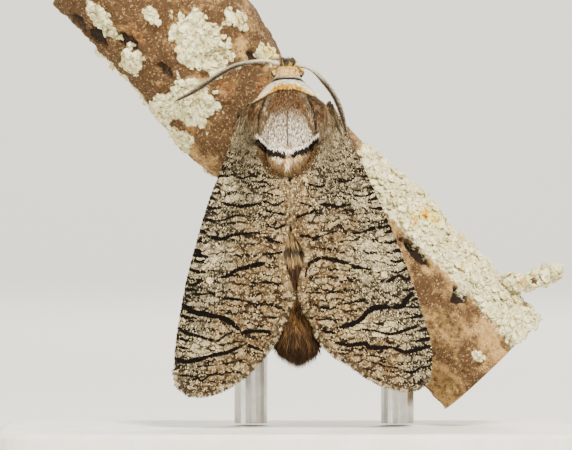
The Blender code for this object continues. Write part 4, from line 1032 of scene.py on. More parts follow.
UNDER_BUFF = dye(142, 120, 92)
ABDOMEN_BROWN = dye(104, 80, 52)
ABDOMEN_PALE = dye(162, 138, 106)
BETWEEN_PALE = dye(154, 125, 85)
BETWEEN_GREY = dye(66, 56, 41)
BETWEEN_BROWN = dye(62, 44, 28)
TAIL_GOLD = dye(110, 78, 40)
TAIL_BROWN = dye(62, 42, 22)
TAIL_DARK = dye(26, 17, 10)
HEAD_PEACH = dye(255, 210, 108)
HEAD_OCHRE = dye(206, 152, 72)
CROWN_GREY = dye(52, 44, 34)
COLLAR_WHITE = dye(255, 250, 222)
COLLAR_ORANGE = dye(212, 150, 14)
THORAX_DARK = dye(62, 41, 22)
SHIELD_SILVER = dye(144, 128, 104)
SHIELD_DARK = dye(66, 52, 37)
SIDE_ORANGE = dye(86, 55, 26)
TEGULA_BROWN = dye(72, 50, 28)
TEGULA_TAN = dye(128, 98, 64)
TEGULA_GREY = dye(102, 88, 66)
HAIR_WHITE = dye(248, 240, 222)
HAIR_PALE = dye(168, 152, 122)
CRESCENT_BLACK = dye(14, 9, 6)
BIB_CREAM = dye(238, 194, 112)
BIB_GOLD = dye(128, 93, 50)
BIB_RIM = dye(50, 34, 19)

# Markings of the back, as heights and half widths from the middle line
LATERAL_LINE = ((40.6, 41.4, 42.2, 44.3, 46.9, 48.2), (4.1, 3.95, 3.5, 2.68, 1.7, 1.45))
DOTTED_LINE = ((41.6, 44.9, 47.5), (3.9, 3.55, 2.7))
SHIELD_REAR = ((-4.2, -3.7, -2.2, -0.4, 0.65, 2.8, 3.7, 4.2),
               (41.8, 41.35, 39.95, 39.65, 39.65, 40.5, 41.45, 41.9))
BIB_REAR = ((0.0, 1.9, 2.8, 3.4, 3.9), (36.9, 37.2, 38.0, 39.0, 40.3))
COLLAR_BOTTOM = ((0.0, 0.9, 2.0, 3.2, 4.6), (-1.08, -0.9, -0.95, -0.9, -0.4))
ORANGE_START = ((0.0, 0.35, 1.6, 2.6, 4.5), (0.5, 0.34, 0.45, 0.8, 0.86))
SLIT_MIDDLE = ((21.5, 27.0, 31.0), (0.62, 0.5, 0.05))


def band(values, centre, half, soft):
    return 1.0 - smoothstep(half, half + soft, np.abs(values - centre))


def chance(fleck, share, soft=0.05):
    """1 for the given share of the tufts, picked by their own random number."""
    return smoothstep(1.0 - share - soft, 1.0 - share + soft, fleck)


def abdomen_colour(points, faces_back, fleck, rough, fine):
    z = points[:, 2]
    abdomen = mix(ABDOMEN_BROWN, ABDOMEN_PALE, band((z + 0.25 * rough) % 2.9, 0.5, 0.25, 0.5) * 0.8)
    between = faces_back * band(points[:, 0] - np.interp(z, *SLIT_MIDDLE), 0.0, 1.5, 0.6)
    uneven = z + 0.25 * fine + 0.5 * (fleck - 0.5)
    tail = layered(TAIL_BROWN, (TAIL_GOLD, chance(fleck + 0.5 * fine, 0.3)),
                   (TAIL_DARK, chance(1.0 - fleck + 0.25 * rough, 0.3)))
    return layered(
        UNDER_BUFF, (abdomen, faces_back * 0.9),
        (BETWEEN_PALE, between * band(uneven, 29.6, 1.7, 0.2)),
        (BETWEEN_GREY, between * band(uneven, 27.3, 0.5, 0.2)),
        (BETWEEN_PALE, between * band(uneven, 26.05, 0.55, 0.2) * 0.85),
        (BETWEEN_BROWN, between * band(uneven, 23.6, 1.55, 0.3)),
        (tail, 1.0 - smoothstep(20.5, 22.8, z)), (TAIL_DARK, 0.5 * (1.0 - smoothstep(14.0, 17.5, z))))


def back_colour(points, fleck, rough, fine):
    """The markings of the thorax: shoulder flaps, shield, crescents and bib."""
    x = points[:, 0] - MIDDLE_X
    z = points[:, 2]
    side = np.abs(x)
    streak = noise_at(points * (1.0, 1.0, 0.55), 6.5, 7.0)
    grain = np.clip(0.7 * fleck + 0.15 + 0.5 * streak, 0.0, 1.0)
    lower = 1.0 - smoothstep(42.6, 44.8, z + 0.5 * rough)
    line_x = np.interp(z, *DOTTED_LINE)
    shield_x = np.interp(z, *LATERAL_LINE)
    above = z - np.interp(x, *SHIELD_REAR)

    # Shoulder flaps, the area beside the shield and the dotted line
    beside = (1.0 - smoothstep(line_x - 0.25, line_x, side)) * smoothstep(0.2, 0.7, above)
    pale = chance(grain, 0.28) * (0.25 + 0.3 * band(z, 45.0, 1.2, 0.6))
    flecks = layered(TEGULA_BROWN, (TEGULA_GREY, 0.3 + 0.7 * lower), (HAIR_PALE, 1.6 * pale))
    dots = band(side, line_x, 0.1, 0.14) * band(z, 44.6, 2.6, 0.5) * smoothstep(-0.2, 0.05, fine + 0.1)

    # The shield, silver behind and brown in front
    silver = layered(
        SHIELD_SILVER, (HAIR_WHITE, chance(grain, 0.34 + 0.1 * smoothstep(43.5, 41.5, z)) * 0.72),
        (SHIELD_DARK, chance(1.0 - grain, 0.33) * 0.85),
        (TEGULA_TAN, band(x, 0.1, 0.3, 0.7) * band(above, 1.1, 0.35, 0.5) * 0.5))
    front = smoothstep(44.2, 46.3, z + 0.35 * rough + 1.2 * (fleck - 0.5) + 0.25 * side)
    brown = layered(THORAX_DARK, (TEGULA_TAN, chance(grain, 0.34) * 0.75),
                    (CRESCENT_BLACK, chance(1.0 - grain, 0.22) * 0.6))
    inside = (1.0 - smoothstep(shield_x - 0.12, shield_x + 0.12, side)) * smoothstep(-0.05, 0.25, above)
    lateral = band(side, shield_x, 0.1, 0.14) * band(z, 44.6, 2.4, 0.5) * smoothstep(-0.6, -0.2, fine)
    median = band(x, 0.05, 0.06, 0.1) * band(z, 43.2, 2.2, 0.5)

    # The cream bib behind it, with its white rim and the black crescents
    from_rim = z - np.interp(side, *BIB_REAR) - 1.1 * smoothstep(1.2, 3.4, side)
    patches = smoothstep(2.5, 1.5, from_rim + 0.8 * rough + 0.7 * (fleck - 0.5)) * smoothstep(0.15, 0.6, side)
    cream = layered(
        BIB_CREAM, (HAIR_WHITE, chance(grain, 0.34) * 0.85),
        (BIB_GOLD, chance(1.0 - grain + 0.3 * rough, 0.5) * 0.85),
        (BIB_RIM, smoothstep(1.5, 0.2, from_rim + 0.8 * (fleck - 0.5) + 0.5 * fine) * 0.88),
        (mix(BIB_GOLD, BIB_RIM, 0.65), patches * 0.85))
    within = (1.0 - smoothstep(3.7, 4.2, side)) * (1.0 - smoothstep(-0.35, -0.15, above))
    edge = 1.0 - smoothstep(4.0, 4.3, side)
    rim_white = band(above + 0.25 * fine, 0.55, 0.14, 0.14) * (0.4 + 0.5 * chance(grain, 0.55))
    arc = band(above + 0.24 * fine + 0.1 * rough, -0.04, 0.36, 0.08) * smoothstep(0.28, 0.42, np.abs(x - 0.13))

    return layered(
        TEGULA_BROWN, (TEGULA_TAN, smoothstep(0.0, 0.5, rough) * band(z, 44.4, 1.5, 1.2) * 0.8),
        (THORAX_DARK, smoothstep(45.8, 47.4, z) * 0.6), (TEGULA_GREY, lower * 0.85),
        (HAIR_PALE, chance(grain, 0.2) * (0.3 + 0.5 * lower)),
        (CRESCENT_BLACK, chance(1.0 - grain, 0.22) * 0.75), (flecks, beside), (CRESCENT_BLACK, dots * 0.9),
        (mix(silver, brown, front), inside), (SIDE_ORANGE, lateral * 0.75), (SHIELD_DARK, median * 0.9),
        (cream, within), (HAIR_WHITE, rim_white * edge), (CRESCENT_BLACK, arc * edge))


def body_colour(points, faces_back, fleck):
    """Colour of the body's coat. faces_back is 1 where the surface looks the way the back does."""
    x = points[:, 0] - MIDDLE_X
    z = points[:, 2]
    side = np.abs(x)
    rough = noise_at(points, 1.6)
    fine = noise_at(points, 4.5, 7.0)
    on_back = faces_back * smoothstep(36.2, 36.6, z) * (1.0 - smoothstep(49.6, 49.8, z))

    # The collar between two arcs: white in front, orange behind
    over_arc = z - (49.27 - np.where(x < 0, 0.12, 0.089) * x * x)
    under = faces_back * smoothstep(45.8, 46.6, z)
    top = 0.25 + 0.06 * side
    bottom = np.interp(side, *COLLAR_BOTTOM)
    collar = under * smoothstep(-0.06, 0.06, over_arc - bottom + 0.08 * fine) * smoothstep(46.4, 46.9, z)
    collar = collar * (1.0 - smoothstep(-0.06, 0.06, over_arc - top))
    depth = (top - over_arc) / (top - bottom)
    orange = layered(COLLAR_ORANGE, (HEAD_PEACH, chance(fleck + 0.9 * fine, 0.25) * 0.7),
                     (SIDE_ORANGE, chance(1.0 - fleck + 0.9 * fine, 0.32) * 0.8))
    white = layered(COLLAR_WHITE, (HEAD_OCHRE, chance(fleck + 0.6 * fine, 0.2) * 0.5),
                    (TEGULA_GREY, chance(1.0 - fleck + 0.6 * fine, 0.14) * 0.6))
    share = depth - np.interp(side, *ORANGE_START) + 0.3 * fine + 0.25 * (fleck - 0.5)
    seam = collar * band(x, 0.0, 0.07, 0.1) * smoothstep(0.3, 0.6, depth)

    # The head, pale behind and grey on the crown
    on_head = smoothstep(0.5, 0.6, over_arc - 0.11 * side) * smoothstep(49.0, 49.5, z)
    neck = mix(TEGULA_GREY, HAIR_WHITE, chance(fleck + 0.5 * fine, 0.55) * 0.85)
    crown = mix(CROWN_GREY, TEGULA_GREY, chance(fleck, 0.25) * 0.8)
    head = layered(
        HEAD_PEACH, (HEAD_OCHRE, chance(fleck + 0.8 * fine, 0.38)),
        (TEGULA_BROWN, chance(1.0 - fleck + 0.8 * fine, 0.2) * 0.85),
        (HAIR_WHITE, chance(np.abs(fleck - 0.5) * 2.0, 0.15) * 0.5),
        (neck, band(z + 0.08 * fine, 49.92, 0.2, 0.08) * 0.85),
        (crown, smoothstep(51.25, 51.5, z + 0.2 * fine)), (ABDOMEN_PALE, (1.0 - faces_back) * 0.7))

    return layered(
        abdomen_colour(points, faces_back, fleck, rough, fine), (UNDER_BUFF, smoothstep(37.0, 38.0, z)),
        (back_colour(points, fleck, rough, fine), on_back),
        # A dark band just behind the collar's lower edge is painted shadow of the collar.
        (CRESCENT_BLACK, under * band(over_arc, bottom - 0.14, 0.1, 0.12) * 0.6),
        (mix(white, orange, smoothstep(-0.12, 0.12, share)), collar), (SIDE_ORANGE, seam * 0.7),
        (CRESCENT_BLACK, under * band(over_arc, top + 0.12, 0.07, 0.07) * 0.9), (head, on_head))


def hair_material(name, tone_group, roughness=0.7):
    """Hair and scales, tinted blade by blade."""
    material, n, shader = new_material(name, roughness=roughness, specular=0.12)
    colour = n.effect(tone_group, "Color", tint=n.attribute("tint", "Color"), along=n.attribute("along"),
                      place=n.attribute("place", "Vector"))
    n.feed(shader.inputs["Base Color"], colour)
    return material


def put_coat_values(coat, roots, colours, draw):
    """Tint with its own brightness for each blade, and how far along it each point lies."""
    shade = np.clip(draw.normal(1.0, 0.16, len(roots)), 0.55, 1.5)[:, None]
    tints = spread(np.clip(colours * shade, 0.0, 0.96))
    put_hair_values(coat, tints, spread(roots), np.tile(TUFT_ALONG, len(roots)))


# Length of the coat at heights from the tail's end to the crown
COAT_LENGTHS = ((11.0, 13.5, 16.0, 18.5, 24.0, 36.0, 37.5, 39.4, 40.4, 42.0, 46.8, 48.2, 49.8, 50.3, 52.0),
                (3.1, 2.8, 2.1, 1.2, 0.9, 1.1, 1.15, 0.95, 0.8, 0.85, 0.7, 0.42, 0.36, 0.28, 0.3))


def coat_length(points):
    """Length of the hair or scales at each place. The shield's scales are short."""
    z = points[:, 2]
    side = np.abs(points[:, 0] - MIDDLE_X)
    shield = (1.0 - smoothstep(0.0, 0.5, side - np.interp(z, *LATERAL_LINE))) * band(z, 44.2, 3.0, 0.8)
    return np.interp(z, *COAT_LENGTHS) * (1.0 - 0.5 * shield)


def build_body(hair, skin_material):
    grid = body_grid()
    heights = np.clip(grid[..., 2].mean(axis=1), AXIS_BOTTOM, AXIS_TOP)
    inside = np.stack([axis_at(z) for z in heights])[:, None]
    surface = Surface(grid, inside)
    skin = surface.piece("body_skin")
    points = surface.with_poles(surface.grid)
    normals = surface.with_poles(surface.normals)
    middling = np.full(len(points), 0.5)
    tints = body_colour(points, smoothstep(0.1, -0.3, normals[:, 1]), middling)
    # At 0.2 along, the skin takes most of the painted root shade.
    put_hair_values(skin, tints, points, np.full(len(points), 0.2))
    finish_piece(skin, skin_material, "grey_scales", *BODY_NODES)

    z = grid[..., 2]
    slit = band(grid[..., 0] - np.interp(z, *SLIT_MIDDLE), 0.0, 1.3, 0.5) * band(z, 26.4, 4.4, 0.6)
    parts = (
        ("head_coat", smoothstep(49.3, 49.7, z), 11000, (0.05, 0.08), 0.3, "buff_scales"),
        ("collar_coat", smoothstep(46.3, 46.9, z) * (1 - smoothstep(49.8, 50.0, z)), 15000,
         (0.06, 0.09), 0.16, "buff_scales"),
        ("thorax_coat", smoothstep(40.2, 40.6, z) * (1 - smoothstep(48.0, 48.4, z)), 27000,
         (0.06, 0.1), 0.17, "grey_scales"),
        ("bib_coat", smoothstep(36.6, 37.0, z) * (1 - smoothstep(40.6, 41.2, z)), 17000,
         (0.06, 0.1), 0.2, "grey_scales"),
        ("abdomen_coat", smoothstep(19.5, 21.0, z) * (1 - smoothstep(37.2, 38.0, z)), 15000,
         (0.08, 0.12), 0.2, "brown_scales"),
        ("slit_coat", slit, 3200, (0.06, 0.09), 0.75, "brown_scales"),
        ("tail_coat", 1 - smoothstep(19.6, 20.6, z), 23000, (0.06, 0.1), 0.26, "brown_scales"),
        ("crown_tuft", smoothstep(51.1, 51.4, z) * band(grid[..., 0] - MIDDLE_X - 0.1, 0.0, 0.95, 0.15), 1300,
         (0.05, 0.07), 0.9, "buff_scales"),
    )
    for seed, (name, weights, count, widths, rise, slot) in enumerate(parts):
        toward_back = smoothstep(0.2, -0.3, surface.normals[..., 1])
        weights = weights * (0.5 + 0.5 * toward_back) + 1e-9
        roots, outward, down, places, draw = surface.scatter(weights, count, 100 + seed)
        back = smoothstep(0.1, -0.3, outward[:, 1])
        clump = np.stack([noise_at(roots, 0.9, 3.0 * k) for k in range(3)], axis=1)
        lies = down + draw.normal(0.0, 0.16, roots.shape) + clump * 0.14
        low = 1.0 - smoothstep(14.5, 19.0, roots[:, 2])
        lies = lies + np.array((0.0, 0.0, -1.0)) * low[:, None] * 1.2
        long = coat_length(roots) * draw.uniform(0.7, 1.25, count)
        if name == "slit_coat":
            long = long * 1.7
        if name == "crown_tuft":
            long = long * 2.0
            lies = np.array((0.0, -0.2, 1.0)) + draw.normal(0.0, 0.3, roots.shape)
        if name == "tail_coat":
            lies = lies + outward * (1.7, 0.4, 0.0) * band(roots[:, 2], 17.4, 1.5, 1.2)[:, None]
            long = long * (1.0 - 0.32 * low * band(roots[:, 0], 1.35, 0.15, 0.4))
        coat = grow_coat(name, roots, outward, lies, long, draw.uniform(*widths, count),
                         rise * draw.uniform(0.4, 1.6, count), places, sink=0.1,
                         curl=draw.normal(0.0, 0.08, count))
        seen = seen_places(roots, outward, lies, long) + outward * 0.15
        put_coat_values(coat, roots, body_colour(seen, back, draw.random(count)), draw)
        finish_piece(coat, hair, slot)


# Eyes, feelers, palps and legs

EYE_PLACES_X = (-1.72, 1.12)
EYE_PLACE_YZ = (-7.1, 50.5)
EYE_SIZE = 0.76
ANTENNA_PATHS = {
    "left": ((-1.3, -8.4, 51.55), (-3.4, -8.2, 52.0), (-6.6, -7.8, 51.5), (-9.2, -7.0, 50.3),
             (-12.4, -5.8, 48.2), (-15.1, -4.6, 46.8)),
    "right": ((0.8, -8.4, 51.5), (2.7, -8.5, 50.9), (4.4, -8.3, 49.3), (5.9, -7.9, 47.2),
              (6.8, -7.4, 44.9), (7.4, -6.7, 42.4)),
}
ANTENNA_SEGMENTS = 62
ANTENNA_SIDES = 14
ANTENNA_SHAPE = ((0.0, 0.28), (0.04, 0.28), (0.07, 0.17), (0.3, 0.19), (0.7, 0.2), (0.9, 0.14), (1.0, 0.05))
ANTENNA_PALE = dye(226, 216, 190)
ANTENNA_DARK = dye(38, 28, 18)


def eye_material():
    material, n, shader = new_material("eye_dark", roughness=0.2, specular=0.45, coat=0.3)
    shader.inputs["Coat Roughness"].default_value = 0.08
    spot = n.own_place()
    facets = n.cells(spot, 14000.0)
    colour = n.blend(n.ramp(n.noise(spot, 900.0, 2.0), 0.35, 0.7), srgb(20, 13, 9), srgb(52, 36, 24))
    n.dress(shader, colour, n.ramp(facets, 0.0, 0.12), 0.35, 0.00002)
    return material


def build_eyes(material, hair):
    for name, way, x in (("left", -1.0, EYE_PLACES_X[0]), ("right", 1.0, EYE_PLACES_X[1])):
        centre = np.array((x, *EYE_PLACE_YZ))
        rise = np.radians(np.linspace(-86.0, 86.0, 40))[:, None]
        turn = np.linspace(0.0, 2 * math.pi, 64, endpoint=False)[None]
        ball = np.stack([np.cos(rise) * np.cos(turn), np.cos(rise) * np.sin(turn),
                         np.sin(rise) + 0 * turn], axis=2)
        eye = Surface(centre + ball * EYE_SIZE, centre).piece("eye_globe_" + name)
        finish_piece(eye, material, "eye_dark", "eye_" + name)

        # Scales of the brow, which hang over the inner upper part of the eye
        draw = np.random.default_rng(41)
        pole = unit_rows(np.array([(-0.7 * way, -0.3, 0.75)]))[0]
        ways = unit_rows(draw.normal(0.0, 1.0, (2600, 3)))
        ways = ways[ways @ pole > 0.08]
        count = len(ways)
        roots = centre + ways * (EYE_SIZE + 0.02)
        lies = ways * (ways @ pole)[:, None] - pole + draw.normal(0.0, 0.15, ways.shape)
        length = draw.uniform(0.22, 0.42, count)
        places = np.stack([0.5 + 0.4 * ways[:, 0], 0.5 + 0.4 * ways[:, 1]], axis=1)
        coat = grow_coat("brow_coat_" + name, roots, ways, lies, length, draw.uniform(0.05, 0.08, count),
                         draw.uniform(0.05, 0.2, count), places, sink=0.0)
        seen = seen_places(roots, ways, lies, length)
        put_coat_values(coat, roots, body_colour(seen, np.full(count, 1.0), draw.random(count)), draw)
        finish_piece(coat, hair, "buff_scales")


def tube_grid(path, radii, sides, flatness=1.0, wide=(0.0, 0.0, 1.0)):
    """Rings round a path. flatness squeezes each ring square to the wide direction."""
    along = unit_rows(np.gradient(path, axis=0))
    across = unit_rows(np.array(wide) - along * (along @ np.array(wide))[:, None])
    up = np.cross(along, across)
    turn = np.linspace(0.0, 2 * math.pi, sides, endpoint=False)
    return (path[:, None] + across[:, None] * np.cos(turn)[None, :, None] * radii[:, None, None]
            + up[:, None] * (np.sin(turn) * flatness)[None, :, None] * radii[:, None, None])


def build_antenna(name, horn, hair):
    path = curve_through(ANTENNA_PATHS[name], ANTENNA_SEGMENTS * 4 + 1)
    share = np.linspace(0.0, 1.0, len(path))
    shape = np.array(ANTENNA_SHAPE)
    radii = np.interp(share, shape[:, 0], shape[:, 1])
    step = (share * ANTENNA_SEGMENTS) % 1.0
    radii = radii * (1.0 + 0.16 * np.sin(step * math.pi) - 0.1 * (step < 0.1))
    surface = Surface(tube_grid(path, radii, ANTENNA_SIDES, 0.85), path[:, None])
    shaft = surface.piece("antenna_shaft_" + name)
    ring = np.repeat(step, ANTENNA_SIDES)
    basal = np.repeat(1.0 - smoothstep(0.12, 0.4, share), ANTENNA_SIDES)
    colour = layered(ANTENNA_DARK, (dye(140, 120, 94), smoothstep(0.35, 0.15, ring) * 0.5),
                     (ANTENNA_PALE, basal * 0.75))
    places = surface.with_poles(surface.grid)
    put_hair_values(shaft, np.vstack([colour, colour[:1], colour[-1:]]), places, np.full(len(places), 0.7))
    finish_piece(shaft, horn, "horn_brown", "antenna_" + name)

    # Two rows of short flat lamellae, one on each edge
    middle = unit_rows(np.gradient(path, axis=0))
    side = unit_rows(np.cross(middle, np.array((0.0, -1.0, 0.0))))
    side = side * np.sign(side[:, 2:3])
    draw = np.random.default_rng(len(name))
    at = np.arange(10, ANTENNA_SEGMENTS * 4 - 6)
    roots = np.vstack([path[at] + side[at] * way * radii[at, None] * 0.7 for way in (-1.0, 1.0)])
    outward = np.vstack([side[at] * way for way in (-1.0, 1.0)])
    edge = np.repeat((0.0, 1.0), len(at))
    share_at = np.tile(share[at], 2)
    length = np.interp(share_at, (0.05, 0.35, 0.75, 1.0), (0.02, 0.28, 0.3, 0.08))
    length = length * draw.uniform(0.8, 1.15, len(roots))
    lies = outward + np.tile(middle[at], (2, 1)) * 0.45 + np.array((0.0, 0.2, 0.0))
    normal = np.tile(middle[at], (2, 1)) * 0.5 + np.array((0.0, -0.85, 0.0))
    coat = grow_coat("antenna_lamellae_" + name, roots, normal, lies, length,
                     np.full(len(roots), 0.09), 0.05, np.stack([share_at, share_at * 0.0 + 0.5], axis=1),
                     sink=0.03)
    # The upper row is paler by 0.25 as painted light; the random part is their own uneven tone.
    paler = (edge * 0.25 + draw.random(len(roots)) * 0.45) * (1.0 - 0.5 * share_at)
    tint = mix(dye(64, 52, 36), ANTENNA_PALE, paler)
    put_coat_values(coat, roots, tint, draw)
    finish_piece(coat, hair, "horn_brown")

    roots, normals, down, places, draw = surface.scatter(
        np.repeat(1.15 - share[:, None], ANTENNA_SIDES, axis=1), 3000, 61 + len(name))
    coat = grow_coat("antenna_scales_" + name, roots, normals, down + draw.normal(0, 0.1, roots.shape),
                     draw.uniform(0.12, 0.2, len(roots)), draw.uniform(0.05, 0.08, len(roots)),
                     0.14, places, sink=0.02)
    far = np.clip(np.linalg.norm(roots - path[0], axis=1) / 4.2 - 0.35, 0.0, 1.0)
    # The outer part is dark in its own colour; scales that face up keep more pale as painted light, and those
    # that face down are darkened as painted shade.
    upper = smoothstep(0.2, 0.75, normals[:, 2] * 0.9 - normals[:, 1] * 0.25)
    tint = layered(ANTENNA_PALE, (ANTENNA_DARK, np.clip(far * 1.4, 0, 1) * (1.0 - 0.6 * upper)),
                   (TEGULA_GREY, chance(draw.random(len(roots)), 0.2) * 0.6),
                   (ANTENNA_DARK, smoothstep(0.1, -0.5, normals[:, 2]) * 0.75))
    put_coat_values(coat, roots, tint, draw)
    finish_piece(coat, hair, "horn_brown")


def smooth_copy(node, shrink=0.0, levels=2):
    """Points, triangles and normals of a rounded copy of a node, drawn in by shrink."""
    copy, normals = rounded(node, levels)
    points, triangles = mesh_arrays(copy)
    bpy.data.objects.remove(copy, do_unlink=True)
    return points - normals * shrink, triangles, normals


def distance_from(points, triangles, start):
    """Length of the way over the surface from the place nearest to start to each point."""
    links = {}
    for a, b, c in triangles:
        for one, other in ((a, b), (b, c), (c, a)):
            links.setdefault(one, set()).add(other)
            links.setdefault(other, set()).add(one)
    far = np.full(len(points), 1e9)
    first = int(np.argmin(np.linalg.norm(points - start, axis=1)))
    far[first] = 0.0
    queue = [(0.0, first)]
    while queue:
        reached, point = heapq.heappop(queue)
        if reached > far[point]:
            continue
        for other in links[point]:
            length = reached + np.linalg.norm(points[other] - points[point])
            if length < far[other]:
                far[other] = length
                heapq.heappush(queue, (length, other))
    return far


def slopes(points, triangles, values):
    """Direction in which the values rise, for each triangle."""
    a, b, c = (points[triangles[:, k]] for k in range(3))
    normal = np.cross(b - a, c - a)
    size = np.maximum(np.sum(normal * normal, axis=1, keepdims=True), 1e-12)
    va, vb, vc = (values[triangles[:, k]][:, None] for k in range(3))
    return unit_rows(np.cross(normal, va * (c - b) + vb * (a - c) + vc * (b - a)) / size)


LIMBS = {
    "leg_fore_left": (-1.9, -4.5, 46.2), "leg_middle_left": (-2.1, -4.0, 42.4),
    "leg_hind_left": (-2.0, -4.0, 39.9), "leg_fore_right": (1.6, -4.5, 46.2),
    "leg_middle_right": (1.8, -4.0, 42.4), "leg_hind_right": (1.7, -4.0, 39.9),
    "palp_left": (-1.1, -5.8, 51.4), "palp_right": (0.5, -5.8, 51.4),
}
LIMB_BROWN = dye(104, 80, 54)
LIMB_CREAM = dye(206, 184, 146)
LIMB_DARK = dye(34, 24, 15)
DARK_KNEE = (-6.9, 45.3)


def limb_colour(points, along, fleck):
    """Brown limbs with cream rings where the foot's joints are, and a black knee in front."""
    rough = noise_at(points, 2.6)
    colour = mix(LIMB_BROWN, LIMB_DARK, smoothstep(0.0, 0.5, rough) * 0.7)
    rings = band(along % 1.25, 0.6, 0.1, 0.15) * smoothstep(3.2, 4.2, along)
    colour = mix(colour, LIMB_CREAM, np.clip(rings + smoothstep(0.25, 0.5, -rough) * 0.5, 0, 1) * 0.85)
    from_knee = np.hypot(points[:, 0] - DARK_KNEE[0], points[:, 2] - DARK_KNEE[1])
    colour = mix(colour, CRESCENT_BLACK, smoothstep(1.3, 0.8, from_knee) * 0.9)
    palp = mix(CROWN_GREY, TEGULA_GREY, chance(fleck, 0.3) * 0.8)
    return mix(colour, palp, smoothstep(50.3, 50.6, points[:, 2]))


def build_limb(name, start, skin_material, hair, horn):
    points, triangles, normals = smooth_copy(NODES[name], shrink=0.1)
    along = distance_from(points, triangles, np.array(start))
    reach = along.max()
    is_palp = name.startswith("palp")
    slot = "buff_scales" if is_palp else "brown_scales"
    unwrap = np.stack([0.5 + 0.35 * np.arctan2(normals[:, 0], -normals[:, 1]) / math.pi,
                       UNWRAP_EDGE + UNWRAP_SPAN * along / reach], axis=1)
    skin = mesh_from_arrays(name + "_skin", points, None, triangles)
    put_bake_map(skin, unwrap)
    tints = limb_colour(points, along, np.full(len(points), 0.5))
    # At 0.4 along, the limb's skin takes some of the painted root shade.
    put_hair_values(skin, tints, points, np.full(len(points), 0.4))
    finish_piece(skin, skin_material, slot, name)

    foot = smoothstep(0.75, 0.45, along / reach)
    count = 1600 if is_palp else 4000
    weights = foot[triangles].mean(axis=1) + 0.45
    roots, outward, picked, draw = scatter(points, triangles, weights, count, len(name) * 7 + int(reach * 10))
    lies = slopes(points, triangles, along)[picked] + draw.normal(0.0, 0.16, roots.shape)
    at = along[triangles[picked]].mean(axis=1)
    bushy = smoothstep(0.6, 0.3, at / reach)
    long = (0.13 if is_palp else 0.28 + 0.5 * bushy) * draw.uniform(0.7, 1.3, count)
    coat = grow_coat(name + "_coat", roots, outward, lies, long, draw.uniform(0.05, 0.09, count),
                     0.2 * draw.uniform(0.3, 1.8, count), unwrap[triangles[picked, 0]], sink=0.04)
    put_coat_values(coat, roots, limb_colour(roots, at, draw.random(count)), draw)
    finish_piece(coat, hair, slot)
    if not is_palp:
        build_claws(name, points, along, horn)


CLAW_RINGS, CLAW_SIDES = 14, 10


def build_claws(name, points, along, horn):
    """Two hooked claws at the end of the foot, their tips on the bark."""
    reach = along.max()
    end = points[along > reach - 0.12].mean(axis=0)
    before = points[np.abs(along - reach + 0.8) < 0.15].mean(axis=0)
    ahead = unit_rows((end - before)[None])[0]
    into = np.array((0.0, 1.0, 0.0))
    into = unit_rows((into - ahead * (into @ ahead))[None])[0]
    side = np.cross(ahead, into)
    for number, way in enumerate((-1.0, 1.0)):
        path = curve_through(
            (end - ahead * 0.1, end + ahead * 0.2 + side * way * 0.12 - into * 0.02,
             end + ahead * 0.36 + side * way * 0.18 + into * 0.1,
             end + ahead * 0.38 + side * way * 0.19 + into * 0.26), CLAW_RINGS)
        radii = np.linspace(0.075, 0.012, CLAW_RINGS)
        grid = tube_grid(path, radii, CLAW_SIDES, wide=tuple(side))
        claw = Surface(grid, path[:, None]).piece("%s_claw_%d" % (name, number))
        count = len(claw.data.vertices)
        tints = np.broadcast_to(dye(48, 28, 14), (count, 3))
        put_hair_values(claw, tints, np.zeros((count, 3)), np.full(count, 0.8))
        finish_piece(claw, horn, "horn_brown")


# Branch: bark that follows the solid, cut ends, and lichen in crusts and lobes

BRANCH_TOP = np.array((-25.6, 6.0, 66.0))
BRANCH_LENGTH = 75.2
BRANCH_FALL = math.radians(45.9)
BRANCH_DOWN = np.array((math.cos(BRANCH_FALL), 0.0, -math.sin(BRANCH_FALL)))
BRANCH_UP = np.array((math.sin(BRANCH_FALL), 0.0, math.cos(BRANCH_FALL)))
BRANCH_FRONT = np.array((0.0, -1.0, 0.0))
BARK_ROWS = 330
BARK_SECTORS = 224

# Patches of lichen on the front: x and z of the middle, half sizes along and across the branch
LICHEN_PATCHES = (
    (-11.5, 54.5, 5.2, 3.2), (-13.0, 47.0, 3.6, 3.0), (-25.5, 58.6, 1.8, 1.1), (-23.8, 56.4, 1.6, 1.0),
    (-20.8, 52.4, 1.8, 1.3), (-16.5, 46.0, 2.4, 2.0), (-14.2, 41.6, 2.0, 1.4), (-7.0, 57.6, 1.8, 0.9),
    (-18.0, 58.0, 1.6, 0.8), (-3.4, 53.4, 1.6, 0.9),
    (11.6, 35.6, 3.2, 1.7), (14.3, 33.3, 3.4, 1.9), (17.8, 30.8, 3.4, 1.9), (19.8, 28.7, 3.2, 1.7),
    (22.3, 26.3, 3.0, 1.4), (24.8, 24.0, 2.8, 1.1), (26.8, 21.4, 2.0, 1.2), (30.6, 16.6, 2.0, 1.2),
    (15.8, 8.2, 1.6, 1.2), (24.6, 13.4, 1.0, 0.7), (28.6, 11.0, 1.3, 0.8),
)
# Hollows and knots, sunk into the bark and darkened, partly as the knots' own dark wood and partly as painted
# shade: x, z, half sizes along and across, depth
BARK_HOLLOWS = (
    (-28.5, 57.2, 2.2, 1.0, 0.5), (-25.7, 55.3, 1.6, 0.9, 0.5), (-21.4, 54.6, 1.8, 0.8, 0.4),
    (-9.6, 52.8, 1.2, 1.9, 0.5), (-4.6, 52.8, 1.6, 0.9, 0.4), (-16.6, 51.0, 1.4, 0.6, 0.35),
    (16.6, 27.2, 3.0, 0.7, 0.6), (22.4, 21.6, 1.5, 1.3, 0.55), (20.4, 17.6, 2.6, 1.2, 0.25),
    (28.6, 15.2, 1.6, 1.0, 0.3), (19.8, 10.0, 2.6, 1.3, 0.2),
)
BARE_WOOD = ((-20.8, 56.1, 1.8, 1.2), (-8.4, 48.5, 1.6, 1.4), (-3.3, 48.9, 1.6, 1.3), (-13.6, 42.4, 1.4, 1.0),
             (23.6, 21.0, 0.9, 0.8))


